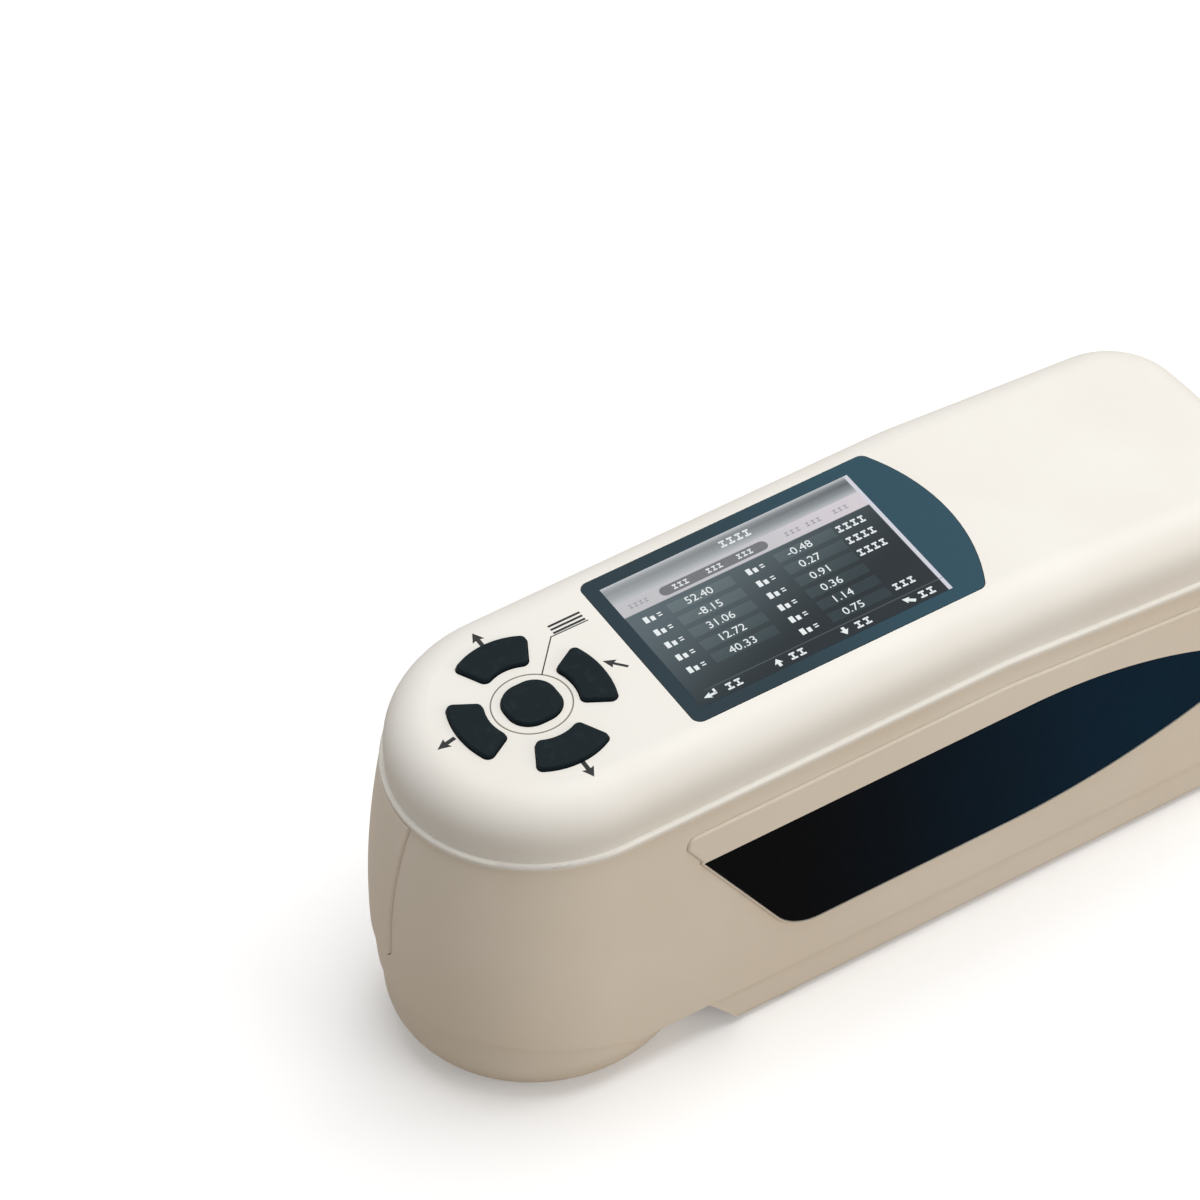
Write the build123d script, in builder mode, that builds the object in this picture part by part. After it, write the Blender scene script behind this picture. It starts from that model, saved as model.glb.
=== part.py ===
from build123d import *
from math import cos, hypot, radians, sin, tan
import os

# Portable colorimeter, a hand-held instrument that stands upright on its round
# measuring nose and on the base block behind it.
# Millimetres. +Z is up and z = 0 is the table. The nose points along -Y and the
# tail along +Y. The left side is -X, seen by a user who holds the tail.
# The origin is the middle of the box that holds the object, at table level.

# Overall size, with the keys standing proud of the top
length = 205.0
width = 67.0
top_z = 80.0
wall = 2.2
roof = 3.0
clear = 0.25

# Measuring trigger on the left front of the nose
trigger_angle = 28.0
trigger_half = 15.2
trigger_proud = 0.5
trigger_corner = 4.0
trigger_foot_z = 27.0
trigger_height = 38.55
trigger_travel = 1.2
trigger_skin = 2.0
trigger_lip = 1.5
trigger_lip_thickness = 1.5

trigger_middle_z = trigger_foot_z + trigger_height / 2
switch_board_distance = 16.5
switch_board_half = 19.0
switch_board_height = 14.0
switch_side = 6.0
switch_reach = 7.0
switch_plunger = 0.6
slot_wall = 1.5
slot_clear = 0.1
skin_lap = 0.5
slot_start = trigger_half + trigger_lip + 0.5
trigger_stem_r = 3.0

# Stations along the body
nose_y = -length / 2
tail_y = length / 2
keypad_y = nose_y + 38.2

# Side view: the top is level over the keys and the window, then slopes to the tail
cover_depth = 14.3
slope_y = keypad_y + 98.0
seam_slope_y = keypad_y + 88.0
slope_radius = 60.0
slope_angle = 5.0
seam_z = top_z - cover_depth
base_height = 9.6

# Plan view of the top cover, with the bead at its lower edge
bead_proud = 0.6
bead_height = 1.5
bead_edge = 0.55
cover_half = width / 2 - bead_proud
cover_draft = 2.0
cover_root = 12.0
cover_edge_radius = 9.5
cover_nose_y = keypad_y + 1.9
tail_bulge = 3.0
tail_corner = 18.0

# Plan view of the housing, which leans forward below the cover
housing_inset = 0.3
housing_half = cover_half - housing_inset
waist_z = 33.0
foot_half = 32.4
lean_swell = 0.35
foot_y = nose_y + trigger_proud + lean_swell + foot_half
rim_height = 2.0
rim_thickness = 1.2
rim_root = 3.0

# Nose ring, which closes the head from below around the measuring port
ring_edge_radius = 9.3
ring_rise = 8.0
ring_rise_length = 38.0
ring_inset = 0.2
ring_floor = 2.4
port_seat_r = 12.0
port_recess = 0.4
port_plate_thickness = 1.0
port_r = 4.0
port_flare = 1.0
port_window_r = 9.0
well_r = 17.4
tower_r = 20.9
head_opening_r = 21.4
ring_screw_r = 24.4
ring_screw_angles = (20, 90, 160)
ring_screw_head_z = 6.4
ring_screw_grip = 7.0
ring_boss_r = 3.4
ring_boss_height = 9.0

# Base block behind the nose, which holds the battery
block_front_y = keypad_y + 16.4
block_front_run = 7.8
block_edge_radius = 1.6
block_inset = 0.4
block_lift = 0.6
bay_half = 19.5
bay_front_y = keypad_y + 47.0
bay_length = 76.0
bay_wall = 1.6
door_thickness = 2.0
door_recess = 0.3
door_margin = 3.0
door_gap = 0.4
hinge_r = 2.0
hinge_pin_r = 0.9
hinge_pin_clear = 0.06
hinge_pin_fit = 0.01
hinge_pin_sink = 0.2
hinge_margin = 1.0
lintel = 1.0
rib_count = 4
rib_pitch = 2.4
rib_length, rib_width, rib_depth = 16.0, 1.2, 0.5
rib_inset = 8.0
finger_r = 7.0
finger_depth = 1.4
cell_r = 9.2
cell_length = 68.0
cell_gap = 0.3
cell_edge = 1.0
contact_half = 3.0
contact_thickness = 0.3
contact_foot, contact_bulge, contact_tail, contact_head = 1.0, 1.0, 4.0, 2.0

# Display window, a dark panel with a curved tail edge
window_half = 23.4
window_front_y = keypad_y + 24.2
window_shoulder_y = keypad_y + 91.9
window_arc_rise = 6.0
window_corner = 2.0
window_thickness = 1.6
window_clear = 0.15
display_half = 20.0
display_front_y = keypad_y + 27.4
display_length = 59.0
display_rim = 0.9
display_recess = 0.6
display_gap = 0.2
module_margin = 1.8
module_thickness = 4.2

# Keys: a nearly round button inside four arc keys that lie between two ellipses
button_size = 11.6
button_corner = 4.9
key_inner_x, key_inner_y = 11.1, 9.6
key_outer_x, key_outer_y = 19.3, 16.6
side_key_half_angle = 26.5
end_key_half_angle = 31.5
key_corner = 1.3
key_proud = 1.0
key_edge = 0.5
key_travel = 0.8
key_flange = 0.9
flange_thickness = 1.3
flange_gap = 0.3
mat_gap = 0.2
mat_clear = 1.5
mat_half_x, mat_half_y = 22.0, 19.0

# Side grips: a rubber pad in a moulded frame, on each side
frame_seat_x = width / 2 - 2.1
frame_face_x = width / 2 - 0.2
pad_seat_x = width / 2 - 1.2
pad_recess = 0.15
pad_clear = 0.1
pad_top_z = 52.0
pad_foot_z = 21.0
pad_tip_y = keypad_y + 18.0
pad_heel_y = keypad_y + 37.2
pad_heel_radius = 11.0
pad_foot_turn_y = keypad_y + 88.0
pad_top_turn_y = keypad_y + 96.0
pad_end_y = keypad_y + 144.0
pad_foot_radius = 165.0
pad_top_radius = 109.0
pad_end_corner = 3.0
frame_rim = 0.6
bed_clear = 0.06
frame_top_z = 60.3
frame_front_y = keypad_y + 14.7
frame_nose_z = 57.4
frame_lean = 0.6
frame_corner = 2.2
frame_edge = 0.5
pad_edge = 0.4

# Optics in the head
sphere_r = 17.0
sphere_wall = 2.0
sphere_z = ring_floor + 16.0
joint_r = 20.8
joint_thickness = 1.5
collar_r = 12.0
collar_height = 17.6
barrel_r = 8.0
barrel_bore_r = 5.0
lens_ledge = 0.8
lens_clear = 0.05
barrel_length = 13.0
collar_z = sphere_z + collar_height
optics_screw_r = 19.1
optics_screw_count = 4
optics_screw_grip = 6.0
lens_seat = 1.5
lens_edge = 1.0
lamp_count = 6
lamp_side = 2.0
lamp_height = 1.0
sphere_port_r = 4.6
lens_thickness = 2.4
board_thickness = 1.6
sensor_side = 22.0
sensor_corner = 2.0
sensor_height = 2.0

# Boards, mat and fasteners. A chip is given by its place and its size: across, from the
# display's front edge, width and depth.
chips = ((0.0, 12.0, 14.0, 14.0), (-10.0, 40.0, 14.0, 14.0), (9.0, 40.0, 10.0, 18.0))
chip_height = 1.6
board_half = 23.0
board_nose_r = 27.0
board_tail_gap = 8.0
board_edge_gap = 1.0
boss_r = 2.0
board_screw_x = 20.6
column_r = 3.5
column_x = 26.2
column_front_y = keypad_y + 35.0
column_rear_y = keypad_y + 145.0
column_head_depth = 9.0
well_bore_r = 2.7
base_screw_front_y = keypad_y + 52.0
base_screw_rear_y = keypad_y + 130.0
base_screw_x = 26.7
base_boss_height = 12.0
base_screw_head_z = 7.2
base_screw_grip = 10.0
foot_r = 4.4
foot_seat_depth = 0.9
foot_seat_wall = 0.8
foot_seat_floor = 1.5
foot_edge = 0.3
screw_shank_r = 1.3
screw_head_r = 2.4
screw_head_height = 1.6
small_shank_r = 0.8
small_head_r = 1.5
small_head_height = 0.9
board_screw_grip = 3.0
screw_tip_gap = 1.0
hole_clear = 0.1

# Tail fittings
port_width, port_height, port_depth = 9.0, 3.4, 12.0
port_x = 9.0
port_sink = 0.8
port_corner = 1.5
port_shell = 0.3
port_back = 2.0
tongue_sink = 1.0
tongue_width, tongue_thickness = 6.4, 0.7
tail_fittings_z = 40.0
switch_x = -9.0
switch_width, switch_height = 4.0, 2.6
switch_travel = 3.0
switch_proud = 1.0
switch_plate = 1.2
switch_plate_gap = 0.7
switch_plate_margin_x, switch_plate_margin_z = 2.0, 1.2
switch_body = (12.0, 7.0, 6.0)
tail_board_half = 16.0
tail_board_front_y = tail_y - 22.5
tail_board_rear_y = tail_y - 7.0
tail_post_x = 12.5
tail_screw_inset = 4.0
tail_screw_grip = 4.0
tail_post_r = 2.5

# Length that reaches past the whole object, and how a solid sits on its place
far = 200.0
BOTTOM = (Align.CENTER, Align.CENTER, Align.MIN)
TOP = (Align.CENTER, Align.CENTER, Align.MAX)


def outline(half, nose_centre_y, z, end_y):
    """Plan outline: a half-round nose, straight sides and a bowed tail with round corners."""
    shoulder_y = end_y - tail_bulge
    with BuildSketch(Plane.XY.offset(z), mode=Mode.PRIVATE) as plan:
        with BuildLine():
            nose = CenterArc((0, nose_centre_y), half, 180, 180)
            side = Line(nose @ 1, (half, shoulder_y))
            end = ThreePointArc(side @ 1, (0, end_y), (-half, shoulder_y))
            Line(end @ 1, nose @ 0)
        make_face()
        fillet(plan.vertices().group_by(Axis.Y)[-1], tail_corner)
    return plan.sketch


def below(level_z, start_y):
    """Everything under a line that is level at level_z and slopes to the tail after start_y."""
    with BuildPart(mode=Mode.PRIVATE) as slab:
        with BuildSketch(Plane.YZ):
            with BuildLine():
                level = Line((-far, level_z), (start_y, level_z))
                bend = JernArc(level @ 1, level % 1, slope_radius, -slope_angle)
                fall = Line(bend @ 1, bend @ 1 + (bend % 1) * far)
                Polyline(fall @ 1, ((fall @ 1).X, -far), (-far, -far), level @ 0)
            make_face()
        extrude(amount=width, both=True)
    return slab.part


def under_ring_seam():
    """Everything under the seam of the nose ring, which rises towards the tip of the nose."""
    rise_radius = (ring_rise_length**2 + ring_rise**2) / (2 * ring_rise)
    with BuildPart(mode=Mode.PRIVATE) as slab:
        with BuildSketch(Plane.YZ):
            with BuildLine():
                level = Line((far, base_height), (nose_y + ring_rise_length, base_height))
                bend = RadiusArc(level @ 1, (nose_y, base_height + ring_rise), -rise_radius)
                lead = Line(bend @ 1, (-far, base_height + ring_rise))
                Polyline(lead @ 1, (-far, -far), (far, -far), level @ 0)
            make_face()
        extrude(amount=width, both=True)
    return slab.part


def cover_form(inset, drop):
    """The top cover's outer form, or its cavity when inset by the wall and dropped by the roof."""
    plan = outline(cover_half - inset, cover_nose_y, seam_z - cover_root, tail_y - bead_proud - inset)
    top_line = below(top_z - drop, slope_y)
    with BuildPart(mode=Mode.PRIVATE) as form:
        extrude(plan, amount=2 * cover_depth + cover_root, taper=cover_draft)
        add(top_line, mode=Mode.INTERSECT)
        tops = form.faces().filter_by(lambda face: face.normal_at().Z > 0.9)
        edges = [edge for face in tops for edge in face.edges()]
        rim = [edge for edge in edges if sum(edge.is_same(other) for other in edges) == 1]
        fillet(rim, cover_edge_radius - inset)
    return form.part


def housing_form(inset, low_z):
    """The housing's outer form, or its cavity when inset by the wall."""
    high_z = seam_z + rim_height
    end_y = tail_y - bead_proud - housing_inset - inset
    waist_y = foot_y + housing_half - foot_half
    sections = [
        outline(foot_half - inset, foot_y, low_z, end_y),
        outline(housing_half - inset, waist_y, waist_z, end_y),
        outline(housing_half - inset, cover_nose_y, high_z, end_y),
    ]
    with BuildPart(mode=Mode.PRIVATE) as form:
        loft(sections)
    return form.part


def on_ellipse(reach_x, reach_y, angle):
    """The point of an ellipse that lies in a given direction from its middle."""
    turn = radians(angle)
    reach = 1 / hypot(cos(turn) / reach_x, sin(turn) / reach_y)
    return Vector(reach * cos(turn), reach * sin(turn))


def arc_key_plan(z, angle, half_angle, grow=0.0):
    """One arc key in plan, grown by a margin for its opening or its flange."""
    turns = (angle - half_angle, angle, angle + half_angle)
    with BuildSketch(Plane((0, keypad_y, z)), mode=Mode.PRIVATE) as plan:
        with BuildLine():
            outer = ThreePointArc(*[on_ellipse(key_outer_x, key_outer_y, t) for t in turns])
            inner = ThreePointArc(*[on_ellipse(key_inner_x, key_inner_y, t) for t in turns])
            Line(outer @ 0, inner @ 0)
            Line(outer @ 1, inner @ 1)
        make_face()
        fillet(plan.vertices(), key_corner)
        if grow:
            offset(amount=grow)
    return plan.sketch


def round_key_plan(z, grow=0.0):
    """The button in plan, a square with corners so round that it is nearly a circle."""
    with BuildSketch(Plane((0, keypad_y, z)), mode=Mode.PRIVATE) as plan:
        RectangleRounded(button_size + 2 * grow, button_size + 2 * grow, button_corner + grow)
    return plan.sketch


def window_plan(z, grow=0.0):
    """The display window in plan, grown by a margin for its pocket."""
    half = window_half + grow
    shoulder_y = window_shoulder_y + grow
    with BuildSketch(Plane.XY.offset(z), mode=Mode.PRIVATE) as plan:
        with BuildLine():
            front = Line((-half, window_front_y - grow), (half, window_front_y - grow))
            side = Line(front @ 1, (half, shoulder_y))
            crown = ThreePointArc(side @ 1, (0, shoulder_y + window_arc_rise), (-half, shoulder_y))
            Line(crown @ 1, front @ 0)
        make_face()
        fillet(plan.vertices(), window_corner + grow)
    return plan.sketch


def display_plan(z, grow):
    """The display in plan, grown by a margin for its opening or its frame."""
    middle_y = display_front_y + display_length / 2
    with BuildSketch(Plane((0, middle_y, z)), mode=Mode.PRIVATE) as plan:
        Rectangle(2 * (display_half + grow), display_length + 2 * grow)
    return plan.sketch


def pad_plan(x, grow=0.0):
    """The rubber pad of a side grip, seen from the side."""
    foot_reach = pad_end_y - pad_foot_turn_y
    foot_rise = pad_foot_radius - (pad_foot_radius**2 - foot_reach**2) ** 0.5
    top_reach = pad_end_y - pad_top_turn_y
    top_fall = pad_top_radius - (pad_top_radius**2 - top_reach**2) ** 0.5
    with BuildSketch(Plane.YZ.offset(x), mode=Mode.PRIVATE) as plan:
        with BuildLine():
            front = Line((pad_tip_y, pad_top_z), (pad_heel_y, pad_foot_z))
            foot = Line(front @ 1, (pad_foot_turn_y, pad_foot_z))
            foot_end = RadiusArc(foot @ 1, (pad_end_y, pad_foot_z + foot_rise), -pad_foot_radius)
            end = Line(foot_end @ 1, (pad_end_y, pad_top_z - top_fall))
            top_end = RadiusArc(end @ 1, (pad_top_turn_y, pad_top_z), -pad_top_radius)
            Line(top_end @ 1, front @ 0)
        make_face()
        heel = plan.vertices().sort_by_distance((pad_heel_y, pad_foot_z, 0))[0]
        fillet(heel, pad_heel_radius)
        fillet(plan.vertices().group_by(Axis.X)[-1], pad_end_corner)
        if grow:
            offset(amount=grow)
    return plan.sketch


def band_plan(x, grow=0.0):
    """The part of a grip frame above the pad, seen from the side."""
    slant = (pad_heel_y - pad_tip_y) / (pad_top_z - pad_foot_z)
    foot_z = pad_top_z - frame_corner
    foot_y_at_band = frame_front_y + (frame_nose_z - foot_z) * slant
    with BuildSketch(Plane.YZ.offset(x), mode=Mode.PRIVATE) as plan:
        with BuildLine():
            Polyline(
                (foot_y_at_band, foot_z),
                (frame_front_y, frame_nose_z),
                (frame_front_y + frame_lean, frame_top_z),
                (pad_end_y + frame_rim, frame_top_z),
                (pad_end_y + frame_rim, (pad_top_z + pad_foot_z) / 2),
                (pad_top_turn_y, foot_z),
                close=True,
            )
        make_face()
        fillet(plan.vertices().group_by(Axis.Y)[-1].sort_by(Axis.X)[0], frame_corner)
        if grow:
            offset(amount=grow)
    return plan.sketch


def trigger_plane(distance):
    """Upright plane across the trigger's way, at a distance from the middle of the nose."""
    turn = radians(trigger_angle)
    outward = Vector(-sin(turn), -cos(turn), 0)
    middle = Vector(0, foot_y, trigger_middle_z) + outward * distance
    return Plane(origin=middle, x_dir=(cos(turn), -sin(turn), 0), z_dir=outward)


def trigger_prism(grow):
    """Bar with the trigger's outline, round at its foot, along the way that the trigger moves."""
    with BuildPart(mode=Mode.PRIVATE) as prism:
        with BuildSketch(trigger_plane(0)) as plan:
            Rectangle(2 * (trigger_half + grow), trigger_height + 2 * grow)
            fillet(plan.vertices().group_by(Axis.Y)[0], trigger_corner + grow)
        extrude(amount=foot_half + width)
    return prism.part


def screws(seats, shank_r, shank_length, head_r, head_height, up=True):
    """Pan-head screws along Z, each with the underside of its head at a seat."""
    along, against = (Align.MIN, Align.MAX) if up else (Align.MAX, Align.MIN)
    crown = -head_height if up else head_height
    with BuildPart(mode=Mode.PRIVATE) as group:
        with Locations(*seats):
            Cylinder(shank_r, shank_length, align=(Align.CENTER, Align.CENTER, along))
            Cylinder(head_r, head_height, align=(Align.CENTER, Align.CENTER, against))
        with Locations(*[(x, y, z + crown) for x, y, z in seats]):
            Box(head_r, head_r / 4, head_height, mode=Mode.SUBTRACT)
            Box(head_r / 4, head_r, head_height, mode=Mode.SUBTRACT)
    return group.part


def posts(points, radius, low_z, high_z):
    """Upright round posts at points in plan."""
    with BuildPart(mode=Mode.PRIVATE) as group:
        with Locations(*[(x, y, low_z) for x, y in points]):
            Cylinder(radius, high_z - low_z, align=(Align.CENTER, Align.CENTER, Align.MIN))
    return group.part


def seam_height(y):
    """Height of the seam between cover and housing at a station along the body."""
    run = y - seam_slope_y - slope_radius * sin(radians(slope_angle))
    if run <= 0:
        return seam_z
    drop = slope_radius * (1 - cos(radians(slope_angle)))
    return seam_z - drop - run * tan(radians(slope_angle))


def finish(part, name):
    """Name a finished piece and write it."""
    part.label = name
    export_step(part, f"parts/{name}.step")


os.makedirs("parts", exist_ok=True)

# Levels
roof_z = top_z - roof
module_z = roof_z - module_thickness
board_z = module_z - board_thickness
floor_z = base_height + wall
door_z = block_lift + door_recess
door_top_z = door_z + door_thickness
cell_z = door_top_z + cell_gap
bay_top_z = cell_z + 2 * cell_r + cell_gap
flange_z = roof_z - flange_gap - flange_thickness
tail_board_z = tail_fittings_z - port_height / 2 - board_thickness

# Places of posts and screws in plan
case_points = [
    (x, y) for x in (-column_x, column_x) for y in (column_front_y, column_rear_y)
]
base_points = [
    (x, y) for x in (-base_screw_x, base_screw_x) for y in (base_screw_front_y, base_screw_rear_y)
]
board_tail_y = display_front_y + display_length + board_tail_gap
board_ys = (
    (keypad_y + mat_half_y + display_front_y - module_margin) / 2,
    board_tail_y - boss_r - board_edge_gap,
)
board_points = [(x, y) for x in (-board_screw_x, board_screw_x) for y in board_ys]
board_points.append((0, keypad_y - mat_half_y - boss_r - mat_clear))
ring_points = [
    (ring_screw_r * cos(radians(angle)), foot_y + ring_screw_r * sin(radians(angle)))
    for angle in ring_screw_angles
]
tail_points = [(x, tail_board_front_y + tail_screw_inset) for x in (-tail_post_x, tail_post_x)]
optics_angles = [45 + 360 * turn / optics_screw_count for turn in range(optics_screw_count)]
optics_points = [
    (optics_screw_r * cos(radians(angle)), foot_y + optics_screw_r * sin(radians(angle)))
    for angle in optics_angles
]

# Forms that several pieces share
cover_outer = cover_form(0, 0)
housing_outer = housing_form(0, base_height)
under_seam = below(seam_z, seam_slope_y)
under_nose_seam = under_ring_seam()
case_heads = [(x, y, seam_height(y) - column_head_depth) for x, y in case_points]


# Top cover: a shell with a proud bead round its lower edge, openings and pockets on top,
# posts for the case screws and bosses for the board
bead_plan = outline(width / 2, cover_nose_y, seam_z - cover_root, tail_y)
with BuildPart() as bead:
    extrude(bead_plan, amount=2 * cover_root)
    add(below(seam_z + bead_height, seam_slope_y), mode=Mode.INTERSECT)
    add(under_seam, mode=Mode.SUBTRACT)
    decks = bead.faces().filter_by(lambda face: abs(face.normal_at().Z) > 0.9)
    deck_edges = [edge for face in decks for edge in face.edges()]
    fillet(
        [edge for edge in deck_edges if sum(edge.is_same(other) for other in deck_edges) == 1],
        bead_edge,
    )

cover_posts = posts(case_points, column_r, seam_z - cover_root, top_z)
cover_bosses = posts(board_points, boss_r, module_z, top_z)
with BuildPart() as cover_fittings:
    add(cover_posts)
    add(cover_bosses)
    add(cover_outer, mode=Mode.INTERSECT)
    add(under_seam, mode=Mode.SUBTRACT)

arc_keys = {
    "key_right": (0, side_key_half_angle),
    "key_rear": (90, end_key_half_angle),
    "key_left": (180, side_key_half_angle),
    "key_front": (270, end_key_half_angle),
}
key_names = (*arc_keys, "key_centre")


def key_plan(name, z, grow=0.0):
    """Any of the five keys in plan."""
    if name in arc_keys:
        return arc_key_plan(z, *arc_keys[name], grow)
    return round_key_plan(z, grow)


key_openings = [key_plan(name, flange_z, clear) for name in key_names]
board_shanks = posts(board_points, small_shank_r, 0, module_z + board_screw_grip + screw_tip_gap / 4)

with BuildPart() as top_cover:
    add(cover_outer)
    add(under_seam, mode=Mode.SUBTRACT)
    add(bead.part)
    add(cover_form(wall, roof), mode=Mode.SUBTRACT)
    add(cover_fittings.part)
    for x, y, head_z in case_heads:
        with Locations((x, y, head_z)):
            Cylinder(screw_shank_r, 2 * column_head_depth, align=BOTTOM, mode=Mode.SUBTRACT)
    add(board_shanks, mode=Mode.SUBTRACT)
    for opening in key_openings:
        extrude(opening, amount=3 * roof, mode=Mode.SUBTRACT)
    extrude(window_plan(top_z - window_thickness, window_clear), amount=roof, mode=Mode.SUBTRACT)
    extrude(display_plan(roof_z - 1, display_rim), amount=roof, mode=Mode.SUBTRACT)
finish(top_cover.part, "top_cover")


# Housing: a deep tub, open at the top and round the port, with columns for the case screws
frame_face = pad_plan(frame_seat_x, frame_rim) + band_plan(frame_seat_x)
frame_bed_face = pad_plan(frame_seat_x, frame_rim + bed_clear) + band_plan(frame_seat_x, bed_clear)

with BuildPart() as frame_beds:
    extrude(frame_bed_face, amount=wall)
    add(below(frame_top_z + bed_clear, seam_slope_y), mode=Mode.INTERSECT)
    mirror(about=Plane.YZ)

with BuildPart() as rim:
    add(cover_form(wall + clear, roof))
    add(below(seam_z + rim_height, seam_slope_y), mode=Mode.INTERSECT)
    add(under_seam, mode=Mode.SUBTRACT)
    add(posts(case_points, column_r + clear, 0, top_z), mode=Mode.SUBTRACT)
with BuildPart() as rim_root_ring:
    add(housing_form(wall / 2, base_height))
    add(under_seam, mode=Mode.INTERSECT)
    add(below(seam_z - rim_root, seam_slope_y), mode=Mode.SUBTRACT)
with BuildPart() as rim_ring:
    add(rim.part)
    add(rim_root_ring.part)
    add(cover_form(wall + clear + rim_thickness, roof), mode=Mode.SUBTRACT)
    add(trigger_prism(trigger_lip + rim_height), mode=Mode.SUBTRACT)

with BuildPart() as board_slots:
    with BuildSketch(trigger_plane(switch_board_distance - slot_wall)):
        Rectangle(2 * foot_half, switch_board_height + 2 * slot_wall)
        Rectangle(2 * slot_start, switch_board_height + 4 * slot_wall, mode=Mode.SUBTRACT)
    extrude(amount=board_thickness + 2 * slot_wall)
    add(housing_form(wall / 2, base_height), mode=Mode.INTERSECT)
    with BuildSketch(trigger_plane(switch_board_distance - slot_clear)):
        Rectangle(2 * (switch_board_half + slot_clear), switch_board_height + 2 * slot_clear)
    extrude(amount=board_thickness + 2 * slot_clear, mode=Mode.SUBTRACT)

with BuildPart() as housing_fittings:
    add(posts(case_points, column_r, base_height, seam_z))
    add(posts(base_points, column_r, base_height, base_height + base_boss_height))
    add(posts(ring_points, ring_boss_r, base_height, base_height + ring_boss_height))
    add(posts(tail_points, tail_post_r, base_height, tail_board_z))
    add(under_seam, mode=Mode.INTERSECT)
    add(board_slots.part)
    add(housing_outer, mode=Mode.INTERSECT)

with BuildPart() as housing_cavity:
    add(housing_form(wall, base_height))
    split(bisect_by=Plane.XY.offset(floor_z), keep=Keep.TOP)

bay_outer_half = bay_half + bay_wall
bay_middle_y = bay_front_y + bay_length / 2
with BuildPart() as housing:
    add(housing_outer)
    add(under_seam, mode=Mode.INTERSECT)
    add(housing_cavity.part, mode=Mode.SUBTRACT)
    add(housing_fittings.part)
    add(rim_ring.part)
    add(under_nose_seam, mode=Mode.SUBTRACT)
    add(trigger_prism(clear), mode=Mode.SUBTRACT)
    add(frame_beds.part, mode=Mode.SUBTRACT)
    with Locations((0, foot_y, base_height)):
        Cylinder(head_opening_r, 2 * wall, mode=Mode.SUBTRACT)
    with Locations((0, bay_middle_y, base_height)):
        Box(
            2 * (bay_outer_half + clear),
            bay_length + 2 * (bay_wall + clear),
            3 * wall,
            mode=Mode.SUBTRACT,
        )
    for x, y, head_z in case_heads:
        with Locations((x, y, 0)):
            Cylinder(well_bore_r, head_z, align=BOTTOM, mode=Mode.SUBTRACT)
            Cylinder(screw_shank_r + hole_clear, top_z, align=BOTTOM, mode=Mode.SUBTRACT)
    with Locations(*[(x, y, 0) for x, y in base_points]):
        Cylinder(screw_shank_r, base_height + base_screw_grip, align=BOTTOM, mode=Mode.SUBTRACT)
    with Locations(*[(x, y, 0) for x, y in ring_points]):
        Cylinder(screw_shank_r, base_height + ring_screw_grip, align=BOTTOM, mode=Mode.SUBTRACT)
    with Locations(*[(x, y, tail_board_z) for x, y in tail_points]):
        Cylinder(small_shank_r, 3 * tail_screw_grip, mode=Mode.SUBTRACT)
    with Locations((port_x, tail_y, tail_fittings_z)):
        Box(port_width + 2 * clear, 4 * wall, port_height + 2 * clear, mode=Mode.SUBTRACT)
    with Locations((switch_x + switch_travel / 2, tail_y, tail_fittings_z)):
        Box(
            switch_width + switch_travel + 2 * clear,
            4 * wall,
            switch_height + 2 * clear,
            mode=Mode.SUBTRACT,
        )
finish(housing.part, "housing")


# Grip frames and pads
with BuildPart() as grip_frame_right:
    extrude(frame_face, amount=frame_face_x - frame_seat_x)
    add(below(frame_top_z, seam_slope_y), mode=Mode.INTERSECT)
    fillet(grip_frame_right.faces().sort_by(Axis.X)[-1].edges(), frame_edge)
    extrude(pad_plan(pad_seat_x, pad_clear), amount=wall, mode=Mode.SUBTRACT)
finish(grip_frame_right.part, "grip_frame_right")

with BuildPart() as grip_frame_left:
    mirror(grip_frame_right.part, about=Plane.YZ)
finish(grip_frame_left.part, "grip_frame_left")

with BuildPart() as grip_pad_right:
    extrude(pad_plan(pad_seat_x), amount=frame_face_x - pad_recess - pad_seat_x)
    fillet(grip_pad_right.faces().sort_by(Axis.X)[-1].edges(), pad_edge)
finish(grip_pad_right.part, "grip_pad_right")

with BuildPart() as grip_pad_left:
    mirror(grip_pad_right.part, about=Plane.YZ)
finish(grip_pad_left.part, "grip_pad_left")


# Trigger: a proud skin that follows the nose, walls behind it and a flange that keeps it in
skin_inset = trigger_skin - trigger_proud
flange_inset = wall + flange_gap
core = trigger_prism(-trigger_skin)
with BuildPart() as trigger_flange:
    add(housing_form(flange_inset, base_height))
    add(housing_form(flange_inset + trigger_lip_thickness, base_height), mode=Mode.SUBTRACT)
    add(trigger_prism(trigger_lip), mode=Mode.INTERSECT)
    add(core, mode=Mode.SUBTRACT)
    split(bisect_by=Plane.XY.offset(trigger_foot_z + trigger_height), keep=Keep.BOTTOM)
with BuildPart() as trigger_stem:
    with BuildSketch(trigger_plane(switch_board_distance + switch_reach + trigger_travel + clear)):
        Circle(trigger_stem_r)
    extrude(amount=foot_half)
    add(housing_form(skin_inset - skin_lap, base_height), mode=Mode.INTERSECT)
with BuildPart() as trigger_walls:
    add(housing_form(skin_inset - skin_lap, base_height))
    add(housing_form(flange_inset + trigger_lip_thickness, base_height), mode=Mode.SUBTRACT)
    add(trigger_prism(0), mode=Mode.INTERSECT)
    add(core, mode=Mode.SUBTRACT)
with BuildPart() as trigger:
    add(housing_form(-trigger_proud, base_height))
    add(housing_form(skin_inset, base_height), mode=Mode.SUBTRACT)
    add(trigger_prism(0), mode=Mode.INTERSECT)
    add(trigger_walls.part)
    add(trigger_flange.part)
    add(trigger_stem.part)
finish(trigger.part, "trigger")

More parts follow.
